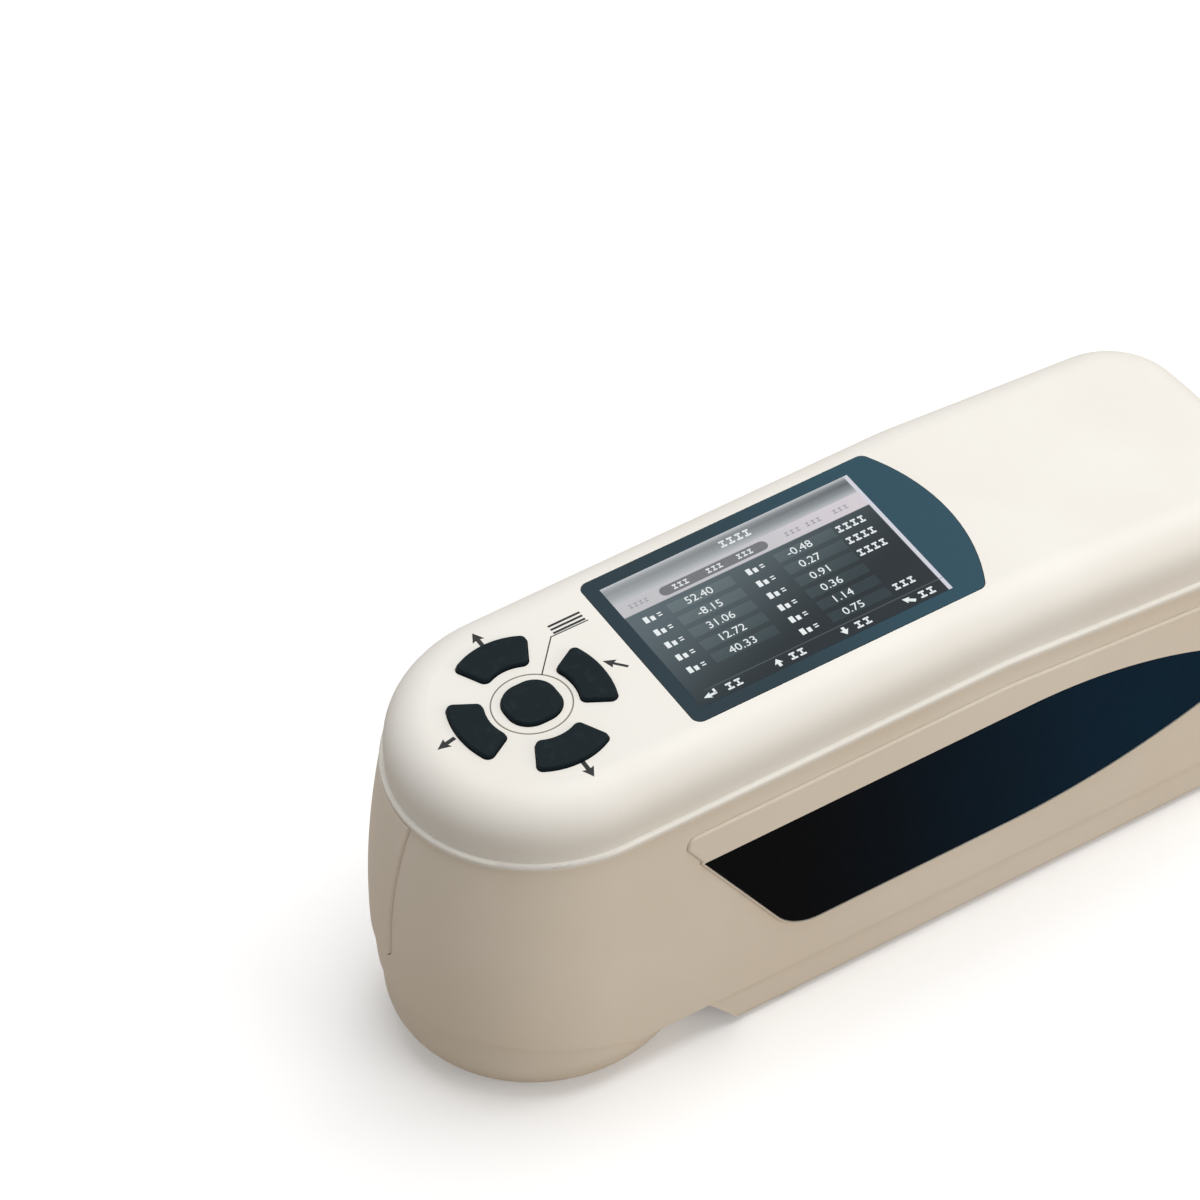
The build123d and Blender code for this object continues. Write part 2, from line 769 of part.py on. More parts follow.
with BuildPart() as trigger_board:
    with BuildSketch(trigger_plane(switch_board_distance)):
        Rectangle(2 * switch_board_half, switch_board_height)
    extrude(amount=board_thickness)
    with BuildSketch(trigger_plane(switch_board_distance + board_thickness)):
        Rectangle(switch_side, switch_side)
    extrude(amount=switch_reach - board_thickness - switch_plunger)
    with BuildSketch(trigger_plane(switch_board_distance + switch_reach - switch_plunger)):
        Circle(trigger_stem_r / 2)
    extrude(amount=switch_plunger)
finish(trigger_board.part, "trigger_board")


# Nose ring: round foot with a rolled lower edge, a tower for the optics and the aperture's seat
with BuildPart() as ring_hollow:
    with Locations((0, foot_y, ring_floor)):
        Cylinder(foot_half - ring_inset - wall, far, align=BOTTOM)
    fillet(ring_hollow.edges().sort_by(Axis.Z)[0], ring_edge_radius - wall)
with BuildPart() as ring_fittings:
    with Locations((0, foot_y, 0)):
        Cylinder(tower_r, sphere_z - joint_thickness, align=BOTTOM)
        Cylinder(well_r, far, align=BOTTOM, mode=Mode.SUBTRACT)
    add(posts(ring_points, ring_boss_r, ring_floor / 2, base_height))
with BuildPart() as nose_ring:
    with Locations((0, foot_y, 0)):
        Cylinder(foot_half - ring_inset, base_height + ring_rise, align=BOTTOM)
    fillet(nose_ring.edges().sort_by(Axis.Z)[0], ring_edge_radius)
    add(under_nose_seam, mode=Mode.INTERSECT)
    add(ring_hollow.part, mode=Mode.SUBTRACT)
    add(ring_fittings.part)
    with Locations((0, foot_y, 0)):
        Cylinder(port_window_r, ring_floor, align=BOTTOM, mode=Mode.SUBTRACT)
        Cylinder(
            port_seat_r, port_recess + port_plate_thickness, align=BOTTOM, mode=Mode.SUBTRACT
        )
    with Locations(*[(x, y, 0) for x, y in ring_points]):
        Cylinder(well_bore_r, ring_screw_head_z, align=BOTTOM, mode=Mode.SUBTRACT)
        Cylinder(screw_shank_r + hole_clear, far, align=BOTTOM, mode=Mode.SUBTRACT)
    with Locations(*[(x, y, sphere_z - joint_thickness) for x, y in optics_points]):
        Cylinder(small_shank_r, 2 * optics_screw_grip, mode=Mode.SUBTRACT)
finish(nose_ring.part, "nose_ring")

with BuildPart() as port_plate:
    with Locations((0, foot_y, port_recess)):
        Cylinder(port_seat_r - hole_clear, port_plate_thickness, align=BOTTOM)
        CounterSinkHole(port_r, port_r + port_flare, port_plate_thickness)
finish(port_plate.part, "port_plate")


# Integrating sphere: two halves with flanges, on the tower of the nose ring
with BuildPart() as sphere_lower:
    with Locations((0, foot_y, sphere_z)):
        Sphere(sphere_r)
        Cylinder(joint_r, joint_thickness, align=TOP)
        Sphere(sphere_r - sphere_wall, mode=Mode.SUBTRACT)
    split(bisect_by=Plane.XY.offset(sphere_z), keep=Keep.BOTTOM)
    split(bisect_by=Plane.XY.offset(ring_floor), keep=Keep.TOP)
    with Locations((0, foot_y, 0)):
        Cylinder(sphere_port_r, sphere_z, align=BOTTOM, mode=Mode.SUBTRACT)
    with Locations(*[(x, y, sphere_z) for x, y in optics_points]):
        Cylinder(small_shank_r + hole_clear, 4 * joint_thickness, mode=Mode.SUBTRACT)
finish(sphere_lower.part, "sphere_lower")

with BuildPart() as sphere_upper:
    with Locations((0, foot_y, sphere_z)):
        Sphere(sphere_r)
        Cylinder(joint_r, joint_thickness, align=BOTTOM)
        Cylinder(collar_r, collar_height, align=BOTTOM)
        Sphere(sphere_r - sphere_wall, mode=Mode.SUBTRACT)
        Cylinder(barrel_bore_r - lens_ledge, far, align=BOTTOM, mode=Mode.SUBTRACT)
    split(bisect_by=Plane.XY.offset(sphere_z), keep=Keep.TOP)
    with Locations(*[(x, y, sphere_z) for x, y in optics_points]):
        Cylinder(small_shank_r + hole_clear, 4 * joint_thickness, mode=Mode.SUBTRACT)
finish(sphere_upper.part, "sphere_upper")

with BuildPart() as lens_barrel:
    with Locations((0, foot_y, collar_z)):
        Cylinder(barrel_r, barrel_length, align=BOTTOM)
        Cylinder(barrel_bore_r - lens_ledge, barrel_length, align=BOTTOM, mode=Mode.SUBTRACT)
    with Locations((0, foot_y, collar_z + lens_seat)):
        Cylinder(barrel_bore_r, barrel_length, align=BOTTOM, mode=Mode.SUBTRACT)
finish(lens_barrel.part, "lens_barrel")

lens_half = barrel_bore_r - lens_clear
lens_rise = lens_thickness - lens_edge
lens_radius = (lens_half**2 + lens_rise**2) / (2 * lens_rise)
with BuildPart() as lens:
    with BuildSketch(Plane((0, foot_y, collar_z + lens_seat), (1, 0, 0), (0, -1, 0))):
        with BuildLine():
            rim_side = Line((lens_half, 0), (lens_half, lens_edge))
            crown = RadiusArc(rim_side @ 1, (0, lens_thickness), -lens_radius)
            axis_side = Line(crown @ 1, (0, 0))
            Line(axis_side @ 1, rim_side @ 0)
        make_face()
    revolve(axis=Axis((0, foot_y, 0), (0, 0, 1)))
finish(lens.part, "lens")

with BuildPart() as lamp_board:
    with BuildSketch(Plane((0, foot_y, collar_z))):
        Circle(collar_r)
        Circle(barrel_r + clear, mode=Mode.SUBTRACT)
    extrude(amount=board_thickness)
    with BuildSketch(Plane((0, foot_y, collar_z + board_thickness))):
        with PolarLocations((collar_r + barrel_r) / 2, lamp_count):
            Rectangle(lamp_side, lamp_side)
    extrude(amount=lamp_height)
finish(lamp_board.part, "lamp_board")

with BuildPart() as sensor_board:
    with BuildSketch(Plane((0, foot_y, collar_z + barrel_length))):
        RectangleRounded(sensor_side, sensor_side, sensor_corner)
    extrude(amount=board_thickness)
    with BuildSketch(Plane((0, foot_y, collar_z + barrel_length + board_thickness))):
        Rectangle(sensor_side / 2, sensor_side / 3)
    extrude(amount=sensor_height)
finish(sensor_board.part, "sensor_board")


# Base block: a shell with a hollowed front, the battery bay and the seats of door and feet
scoop_r = [
    hypot(foot_half - block_inset, block_front_y + run - foot_y) for run in (block_front_run, 0)
]
block_plan = outline(
    foot_half - block_inset, foot_y, block_lift, tail_y - bead_proud - housing_inset - block_inset
)
hollow_plan = outline(
    foot_half - block_inset - wall,
    foot_y,
    block_lift + wall,
    tail_y - bead_proud - housing_inset - block_inset - wall,
)
with BuildPart() as scoop:
    with Locations((0, foot_y, 0)):
        Cone(scoop_r[0], scoop_r[1], base_height, align=BOTTOM)
with BuildPart() as block_hollow:
    extrude(hollow_plan, amount=base_height)
    with Locations((0, foot_y, 0)):
        Cone(
            scoop_r[0] + wall, scoop_r[1] + wall, base_height, align=BOTTOM, mode=Mode.SUBTRACT
        )
        Cylinder(scoop_r[1] + wall, far, align=BOTTOM, mode=Mode.SUBTRACT)

hinge_y = bay_front_y - bay_wall - door_gap - hinge_r - hinge_margin
hinge_z = door_z + hinge_r
door_half = bay_half + door_margin
door_tail_y = bay_front_y + bay_length + bay_wall + door_margin
recess_half = door_half + door_gap
recess_tail_y = door_tail_y + door_gap
recess_length = recess_tail_y - hinge_y
frame_length = recess_tail_y + bay_wall - (hinge_y - hinge_r - door_gap - bay_wall)
seat_top_z = block_lift + foot_seat_depth + foot_seat_floor
with BuildPart() as block_fittings:
    with Locations((0, recess_tail_y + bay_wall - frame_length / 2, block_lift)):
        Box(
            2 * (recess_half + bay_wall),
            frame_length,
            door_top_z + bay_wall - block_lift + lintel,
            align=BOTTOM,
        )
    with Locations((0, bay_middle_y, block_lift)):
        Box(
            2 * bay_outer_half,
            bay_length + 2 * bay_wall,
            bay_top_z + bay_wall - block_lift,
            align=BOTTOM,
        )
    add(posts(case_points, column_r, block_lift, base_height))
    add(posts(case_points, foot_r + foot_seat_wall, block_lift, seat_top_z))
    add(posts(base_points, column_r, block_lift, base_height))

with BuildPart() as base_block:
    extrude(block_plan, amount=base_height - block_lift)
    fillet(base_block.faces().sort_by(Axis.Z)[0].edges(), block_edge_radius)
    add(block_hollow.part, mode=Mode.SUBTRACT)
    add(block_fittings.part)
    add(scoop.part, mode=Mode.SUBTRACT)
    with Locations((0, bay_middle_y, 0)):
        Box(2 * bay_half, bay_length, bay_top_z, align=BOTTOM, mode=Mode.SUBTRACT)
    with Locations((0, hinge_y + recess_length / 2, 0)):
        Box(2 * recess_half, recess_length, door_top_z, align=BOTTOM, mode=Mode.SUBTRACT)
    with Locations(Location((0, hinge_y, hinge_z), (0, 90, 0))):
        Cylinder(hinge_r + door_gap, 2 * recess_half, mode=Mode.SUBTRACT)
        Cylinder(hinge_pin_r, 2 * (recess_half + bay_wall), mode=Mode.SUBTRACT)
    with Locations((0, hinge_y, 0)):
        Box(2 * recess_half, 2 * (hinge_r + door_gap), hinge_z, align=BOTTOM, mode=Mode.SUBTRACT)
    with Locations((0, recess_tail_y, 0)):
        Cylinder(finger_r, block_lift + finger_depth, align=BOTTOM, mode=Mode.SUBTRACT)
    with Locations(*[(x, y, 0) for x, y in case_points]):
        Cylinder(foot_r + hole_clear, block_lift + foot_seat_depth, align=BOTTOM, mode=Mode.SUBTRACT)
        Cylinder(well_bore_r, far, align=BOTTOM, mode=Mode.SUBTRACT)
    with Locations(*[(x, y, 0) for x, y in base_points]):
        Cylinder(well_bore_r, base_screw_head_z, align=BOTTOM, mode=Mode.SUBTRACT)
        Cylinder(screw_shank_r + hole_clear, far, align=BOTTOM, mode=Mode.SUBTRACT)
finish(base_block.part, "base_block")

# Battery door: a plate with a hinge barrel, that turns about the pin at its front edge
with BuildPart() as battery_door:
    with Locations((0, hinge_y, door_z)):
        Box(
            2 * door_half,
            door_tail_y - hinge_y,
            door_thickness,
            align=(Align.CENTER, Align.MIN, Align.MIN),
        )
    with Locations(Location((0, hinge_y, hinge_z), (0, 90, 0))):
        Cylinder(hinge_r, 2 * door_half)
        Cylinder(hinge_pin_r + hinge_pin_clear, 2 * door_half, mode=Mode.SUBTRACT)
    with BuildSketch(Plane.XY.offset(door_z)):
        with Locations((0, door_tail_y - rib_inset)):
            with GridLocations(0, rib_pitch, 1, rib_count):
                SlotOverall(rib_length, rib_width)
    extrude(amount=rib_depth, mode=Mode.SUBTRACT)
finish(battery_door.part, "battery_door")

with BuildPart() as door_pin:
    with Locations(Location((0, hinge_y, hinge_z), (0, 90, 0))):
        Cylinder(hinge_pin_r - hinge_pin_fit, 2 * (recess_half + bay_wall - hinge_pin_sink))
finish(door_pin.part, "door_pin")

with BuildPart() as battery_pack:
    with BuildSketch(Plane((0, bay_middle_y, cell_z + cell_r), (1, 0, 0), (0, 1, 0))):
        SlotOverall(4 * cell_r, 2 * cell_r)
    extrude(amount=cell_length / 2, both=True)
    fillet(battery_pack.faces().group_by(Axis.Y)[0].edges(), cell_edge)
    fillet(battery_pack.faces().group_by(Axis.Y)[-1].edges(), cell_edge)
finish(battery_pack.part, "battery_pack")

contact_reach = (bay_length - cell_length) / 2 - cell_gap
contact_rear_y = bay_front_y + contact_reach - contact_thickness / 2
with BuildPart() as battery_contacts:
    with BuildSketch(Plane.YZ.offset(-cell_r)):
        with BuildLine():
            Polyline(
                (bay_front_y + contact_thickness / 2, cell_z + contact_foot),
                (bay_front_y + contact_thickness / 2, cell_z + 2 * cell_r - contact_head),
                (contact_rear_y, cell_z + cell_r + contact_bulge),
                (bay_front_y + contact_reach / 2, cell_z + contact_tail),
            )
        trace(line_width=contact_thickness)
    extrude(amount=contact_half, both=True)
    mirror(about=Plane.YZ)
finish(battery_contacts.part, "battery_contacts")


# Rubber feet, which also hide the deep case screws
with BuildPart() as feet:
    with Locations(*[(x, y, 0) for x, y in case_points]):
        Cylinder(foot_r, block_lift + foot_seat_depth, align=BOTTOM)
    fillet(feet.edges().group_by(Axis.Z)[0], foot_edge)
finish(feet.part, "feet")


# Display, keys, mat and main board
with BuildPart() as display_window:
    extrude(window_plan(top_z - window_thickness), amount=window_thickness)
finish(display_window.part, "display_window")

with BuildPart() as display_module:
    extrude(display_plan(module_z, module_margin), amount=module_thickness)
    extrude(display_plan(roof_z - display_recess, 0), amount=display_recess, mode=Mode.SUBTRACT)
    extrude(
        display_plan(roof_z - display_recess, -display_gap), amount=display_recess - display_gap
    )
finish(display_module.part, "display_module")

for name in key_names:
    with BuildPart() as key:
        extrude(key_plan(name, flange_z), amount=top_z + key_proud - flange_z)
        fillet(key.faces().sort_by(Axis.Z)[-1].edges(), key_edge)
        extrude(key_plan(name, flange_z, key_flange), amount=flange_thickness)
    finish(key.part, name)

with BuildPart() as keypad_mat:
    with BuildSketch(Plane((0, keypad_y, module_z))):
        Ellipse(mat_half_x, mat_half_y)
    extrude(amount=flange_z - key_travel - mat_gap - module_z)
finish(keypad_mat.part, "keypad_mat")

with BuildPart() as main_board:
    with BuildSketch(Plane.XY.offset(board_z)):
        with Locations((0, cover_nose_y)):
            Circle(board_nose_r)
        with Locations((0, (cover_nose_y + board_tail_y) / 2)):
            Rectangle(2 * board_half, board_tail_y - cover_nose_y)
    extrude(amount=board_thickness)
    with BuildSketch(Plane.XY.offset(board_z)):
        for x, run, chip_x, chip_y in chips:
            with Locations((x, display_front_y + run)):
                Rectangle(chip_x, chip_y)
    extrude(amount=-chip_height)
    with Locations(*[(x, y, board_z) for x, y in board_points]):
        Cylinder(small_shank_r + hole_clear, 4 * board_thickness, mode=Mode.SUBTRACT)
finish(main_board.part, "main_board")


# Tail board with its socket and slide switch
with BuildPart() as tail_board:
    with Locations((0, tail_board_front_y, tail_board_z)):
        Box(
            2 * tail_board_half,
            tail_board_rear_y - tail_board_front_y,
            board_thickness,
            align=(Align.CENTER, Align.MIN, Align.MIN),
        )
    with Locations((switch_x + switch_travel / 2, tail_board_rear_y, tail_board_z)):
        Box(*switch_body, align=(Align.CENTER, Align.MAX, Align.MIN))
    with Locations(*[(x, y, tail_board_z) for x, y in tail_points]):
        Cylinder(small_shank_r + hole_clear, 4 * board_thickness, mode=Mode.SUBTRACT)
finish(tail_board.part, "tail_board")

socket_mouth_y = tail_y - bead_proud - housing_inset - port_sink
with BuildPart() as usb_socket:
    with BuildSketch(Plane((port_x, socket_mouth_y, tail_fittings_z), (1, 0, 0), (0, 1, 0))):
        RectangleRounded(port_width, port_height, port_corner)
    extrude(amount=-port_depth)
    with BuildSketch(Plane((port_x, socket_mouth_y, tail_fittings_z), (1, 0, 0), (0, 1, 0))):
        RectangleRounded(
            port_width - 2 * port_shell, port_height - 2 * port_shell, port_corner - port_shell
        )
    extrude(amount=port_back - port_depth, mode=Mode.SUBTRACT)
    with Locations((port_x, socket_mouth_y - tongue_sink, tail_fittings_z)):
        Box(
            tongue_width,
            port_depth - port_back,
            tongue_thickness,
            align=(Align.CENTER, Align.MAX, Align.CENTER),
        )
finish(usb_socket.part, "usb_socket")

knob_face_y = tail_y - bead_proud - housing_inset + switch_proud
plate_rear_y = tail_y - bead_proud - housing_inset - wall - switch_plate_gap
with BuildPart() as power_slider:
    with Locations((switch_x, knob_face_y, tail_fittings_z)):
        Box(
            switch_width,
            knob_face_y - plate_rear_y + switch_plate,
            switch_height,
            align=(Align.CENTER, Align.MAX, Align.CENTER),
        )
    with Locations((switch_x, plate_rear_y, tail_fittings_z)):
        Box(
            switch_width + 2 * switch_plate_margin_x,
            switch_plate,
            switch_height + 2 * switch_plate_margin_z,
            align=(Align.CENTER, Align.MAX, Align.CENTER),
        )
finish(power_slider.part, "power_slider")


# Fasteners, one node for each kind
screw_sets = {
    "case_screws": screws(
        case_heads, screw_shank_r, 2 * column_head_depth - screw_tip_gap, screw_head_r, screw_head_height
    ),
    "base_screws": screws(
        [(x, y, base_screw_head_z) for x, y in base_points],
        screw_shank_r,
        base_height - base_screw_head_z + base_screw_grip - screw_tip_gap,
        screw_head_r,
        screw_head_height,
    ),
    "ring_screws": screws(
        [(x, y, ring_screw_head_z) for x, y in ring_points],
        screw_shank_r,
        base_height - ring_screw_head_z + ring_screw_grip - screw_tip_gap,
        screw_head_r,
        screw_head_height,
    ),
    "board_screws": screws(
        [(x, y, board_z) for x, y in board_points],
        small_shank_r,
        board_thickness + board_screw_grip,
        small_head_r,
        small_head_height,
    ),
    "tail_screws": screws(
        [(x, y, tail_board_z + board_thickness) for x, y in tail_points],
        small_shank_r,
        board_thickness + tail_screw_grip,
        small_head_r,
        small_head_height,
        up=False,
    ),
    "optics_screws": screws(
        [(x, y, sphere_z + joint_thickness) for x, y in optics_points],
        small_shank_r,
        2 * joint_thickness + optics_screw_grip - screw_tip_gap,
        small_head_r,
        small_head_height,
        up=False,
    ),
}
for name, group in screw_sets.items():
    finish(group, name)
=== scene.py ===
"""Portable colorimeter: its looks in Blender, over the frame that the CAD model gives."""

import math

import bmesh
import bpy
from mathutils import Matrix, Vector


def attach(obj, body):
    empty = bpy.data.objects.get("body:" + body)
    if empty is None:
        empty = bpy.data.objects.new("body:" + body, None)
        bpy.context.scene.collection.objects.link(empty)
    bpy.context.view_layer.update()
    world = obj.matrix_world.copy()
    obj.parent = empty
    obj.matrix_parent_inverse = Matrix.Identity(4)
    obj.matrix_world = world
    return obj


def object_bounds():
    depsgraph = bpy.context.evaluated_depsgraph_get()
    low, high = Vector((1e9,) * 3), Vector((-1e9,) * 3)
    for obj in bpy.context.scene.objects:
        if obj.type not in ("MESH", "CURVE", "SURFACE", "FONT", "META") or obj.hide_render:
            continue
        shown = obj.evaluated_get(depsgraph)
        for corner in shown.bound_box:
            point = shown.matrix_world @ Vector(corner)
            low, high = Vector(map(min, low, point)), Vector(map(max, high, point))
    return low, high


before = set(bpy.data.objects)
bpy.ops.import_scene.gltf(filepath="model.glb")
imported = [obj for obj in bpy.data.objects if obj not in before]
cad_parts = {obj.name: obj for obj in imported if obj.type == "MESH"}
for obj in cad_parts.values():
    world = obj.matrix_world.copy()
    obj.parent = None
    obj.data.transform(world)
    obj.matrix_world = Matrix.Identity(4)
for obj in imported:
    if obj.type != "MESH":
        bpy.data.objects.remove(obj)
frame_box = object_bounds()

MM = 0.001

# Places that the CAD model gives, in metres
TOP = 80 * MM
KEYPAD = Vector((0.0, -64.3 * MM, TOP))
SCREEN_CORNER = Vector((20 * MM, -36.9 * MM, TOP))
GRIP_NOSE_Y = -46.3 * MM
GRIP_TAIL_Y = 79.7 * MM
KEY_SHOULDER_Z = 80.4 * MM
KEY_CROWN_Z = 81 * MM
DISPLAY_RIM_Z = 76.3 * MM
DISPLAY_GLASS_Z = 76.6 * MM

# Size of the lit screen, in millimetres
SCREEN_LONG = 59.0
SCREEN_HIGH = 40.0


# Shader maths

class Signal:
    """A value, vector or colour on its way through a finish, with arithmetic that adds nodes."""

    def __init__(self, finish, socket):
        self.finish = finish
        self.socket = socket

    def _work(self, operation, first, second):
        """One step of arithmetic, in the kind of node that the signals need."""
        kinds = [side.socket.type for side in (first, second) if isinstance(side, Signal)]
        if "RGBA" in kinds:
            settings = {"data_type": "RGBA", "blend_type": operation}
            inputs = {"Factor_Float": 1.0, "A_Color": first, "B_Color": second}
            return self.finish.node("ShaderNodeMix", settings, inputs, "Result_Color")
        kind = "ShaderNodeVectorMath" if "VECTOR" in kinds else "ShaderNodeMath"
        return self.finish.node(kind, {"operation": operation}, {0: first, 1: second})

    def __add__(self, other):
        return self._work("ADD", self, other)

    def __radd__(self, other):
        return self._work("ADD", other, self)

    def __sub__(self, other):
        return self._work("SUBTRACT", self, other)

    def __rsub__(self, other):
        return self._work("SUBTRACT", other, self)

    def __mul__(self, other):
        return self._work("MULTIPLY", self, other)

    def __rmul__(self, other):
        return self._work("MULTIPLY", other, self)

    def __truediv__(self, other):
        return self._work("DIVIDE", self, other)

    def ramp(self, low, high):
        """0 at low and 1 at high, eased in between and clamped."""
        settings = {"interpolation_type": "SMOOTHSTEP"}
        inputs = {"Value": self, "From Min": low, "From Max": high, "To Min": 0.0, "To Max": 1.0}
        return self.finish.node("ShaderNodeMapRange", settings, inputs)


class Finish:
    """A material under construction, with Object coordinates in metres."""

    def __init__(self, name, roughness=0.5, **constants):
        self.material = bpy.data.materials.new(name)
        self.material.use_nodes = True
        self.tree = self.material.node_tree
        self.shader = self.tree.nodes["Principled BSDF"]
        self.set(Roughness=roughness, **constants)
        self.place = self.node("ShaderNodeTexCoord", output="Object")

    def feed(self, socket, value):
        """Links a signal to a socket, or gives the socket a plain value."""
        if isinstance(value, Signal):
            self.tree.links.new(value.socket, socket)
        else:
            socket.default_value = value

    def node(self, kind, settings=None, inputs=None, output=0):
        """Any node: its settings first, a ramp's stops among them, then values or links."""
        node = self.tree.nodes.new(kind)
        for name, value in (settings or {}).items():
            if name == "stops":
                self.set_stops(node.color_ramp, value)
            else:
                setattr(node, name, value)
        for key, value in (inputs or {}).items():
            self.feed(self.find(node.inputs, key), value)
        return Signal(self, self.find(node.outputs, output))

    @staticmethod
    def find(sockets, key):
        """A socket by its number, identifier or name."""
        if isinstance(key, int):
            return sockets[key]
        for socket in sockets:
            if socket.identifier == key:
                return socket
        return sockets[key]

    @staticmethod
    def set_stops(ramp, stops):
        """Colour stops as (place, colour) pairs."""
        while len(ramp.elements) < len(stops):
            ramp.elements.new(0.5)
        for element, (position, colour) in zip(ramp.elements, stops):
            element.position = position
            element.color = colour

    def noise(self, scale, detail=2.0, rough=0.5, place=None):
        """Soft noise from 0 to 1."""
        inputs = {
            "Vector": place or self.place,
            "Scale": scale,
            "Detail": detail,
            "Roughness": rough,
        }
        return self.node("ShaderNodeTexNoise", None, inputs, "Fac")

    def cells(self, scale, feature="F1"):
        """Distance to the middle of the nearest cell, or to the cell's edge."""
        inputs = {"Vector": self.place, "Scale": scale}
        return self.node("ShaderNodeTexVoronoi", {"feature": feature}, inputs, "Distance")

    def blend(self, factor, first, second):
        """first where factor is 0 and second where it is 1."""
        inputs = {"Factor_Float": factor, "A_Color": first, "B_Color": second}
        return self.node("ShaderNodeMix", {"data_type": "RGBA"}, inputs, "Result_Color")

    def axis(self, letter):
        """One of the Object coordinates, in metres."""
        return self.node("ShaderNodeSeparateXYZ", None, {0: self.place}, letter)

    def set(self, **signals):
        """Feeds the shader's sockets."""
        for name, signal in signals.items():
            self.feed(self.shader.inputs[name.replace("_", " ")], signal)

    def bump(self, height, depth, strength):
        """Relief that is depth metres high."""
        inputs = {"Height": height, "Distance": depth, "Strength": strength}
        self.set(Normal=self.node("ShaderNodeBump", None, inputs, "Normal"))


def srgb(red, green, blue):
    """A colour as seen on screen, from 0 to 255, in Blender's linear numbers."""
    return tuple(
        ((v / 255 + 0.055) / 1.055) ** 2.4 if v > 10 else v / 255 / 12.92
        for v in (red, green, blue)
    ) + (1.0,)


WHITE = (1.0, 1.0, 1.0, 1.0)


# Finishes

def satin_plastic(name, pale, deep):
    """Moulded case plastic: faint mottle, a fine spark-eroded grain and slightly rubbed patches."""
    finish = Finish(name, Specular_IOR_Level=0.42)
    mottle = finish.noise(38.0, detail=3.0)
    flow = finish.noise(9.0, detail=1.0)
    colour = finish.blend((mottle * 0.6 + flow * 0.4).ramp(0.35, 0.65), pale, deep)
    grain = finish.noise(5200.0, rough=0.6)
    rubbed = finish.noise(26.0).ramp(0.45, 0.7)
    finish.set(Base_Color=colour, Roughness=0.5 - rubbed * 0.07 + grain * 0.05)
    finish.bump(grain + finish.cells(2600.0) * 0.5, depth=6e-6, strength=0.55)
    return finish.material


def grip_rubber():
    """Soft grip: nearly black at the nose, blue towards the tail, with a fine stipple."""
    finish = Finish("grip_rubber", Specular_IOR_Level=0.06)
    along = finish.axis("Y").ramp(GRIP_NOSE_Y + 18 * MM, GRIP_TAIL_Y - 10 * MM)
    bloom = finish.noise(55.0, detail=4.0, rough=0.6)
    dark = finish.blend(bloom, srgb(1, 3, 5), srgb(3, 5, 9))
    blue = finish.blend(bloom, srgb(8, 34, 52), srgb(12, 44, 66))
    stipple = finish.cells(1900.0)
    finish.set(
        Base_Color=finish.blend(along, dark, blue),
        Roughness=0.72 + bloom * 0.1 - stipple * 0.1,
    )
    finish.bump(stipple, depth=4e-5, strength=0.5)
    return finish.material


def key_rubber():
    """Keys: dark teal with a soft touch coat that is a little worn on the crowns."""
    finish = Finish("key_soft_touch", Specular_IOR_Level=0.14)
    cloud = finish.noise(160.0, detail=3.0)
    crown = finish.axis("Z").ramp(KEY_SHOULDER_Z, KEY_CROWN_Z)
    worn = crown * finish.noise(420.0, detail=4.0).ramp(0.5, 0.75)
    base = finish.blend(cloud, srgb(3, 17, 22), srgb(6, 22, 28))
    finish.set(
        Base_Color=finish.blend(worn * 0.35, base, srgb(14, 32, 39)),
        Roughness=0.62 + cloud * 0.1 - worn * 0.12,
    )
    finish.bump(finish.noise(6000.0), depth=8e-6, strength=0.5)
    return finish.material


def window_panel():
    """Printed panel: dark teal under a hard gloss coat, with the faintest dust and wipe marks."""
    finish = Finish("window_panel", Specular_IOR_Level=0.22, Coat_Roughness=0.05)
    tail = finish.axis("Y").ramp(-30 * MM, 30 * MM)
    colour = finish.blend(tail, srgb(22, 46, 56), srgb(28, 70, 86))
    wipes = finish.noise(70.0, detail=5.0, rough=0.7)
    dust = finish.cells(1500.0).ramp(0.06, 0.02)
    finish.set(
        Base_Color=finish.blend(dust * 0.25, colour, srgb(120, 132, 136)),
        Roughness=0.2 + wipes * 0.12,
        Coat_Weight=0.12 - wipes * 0.08,
    )
    return finish.material


def screen_place(finish):
    """Run and rise on the screen in millimetres, and the glare over its upper nose corner."""
    run = (finish.axis("Y") - SCREEN_CORNER.y) / MM
    rise = (SCREEN_CORNER.x - finish.axis("X")) / MM
    return run, rise, (rise * 1.5 - run * 0.6).ramp(-12.0, 46.0)


# Bands of the screen, by their edges' rise in millimetres, and its pale tail edge, by its run
RULE_RISE = ((3.55, 3.65), (3.8, 3.9))
BAND_LOW = (29.9, 30.2)
TITLE_LOW = (34.5, 34.7)
TITLE_FOOT = 34.6
TAIL_EDGE = (58.0, 58.2)


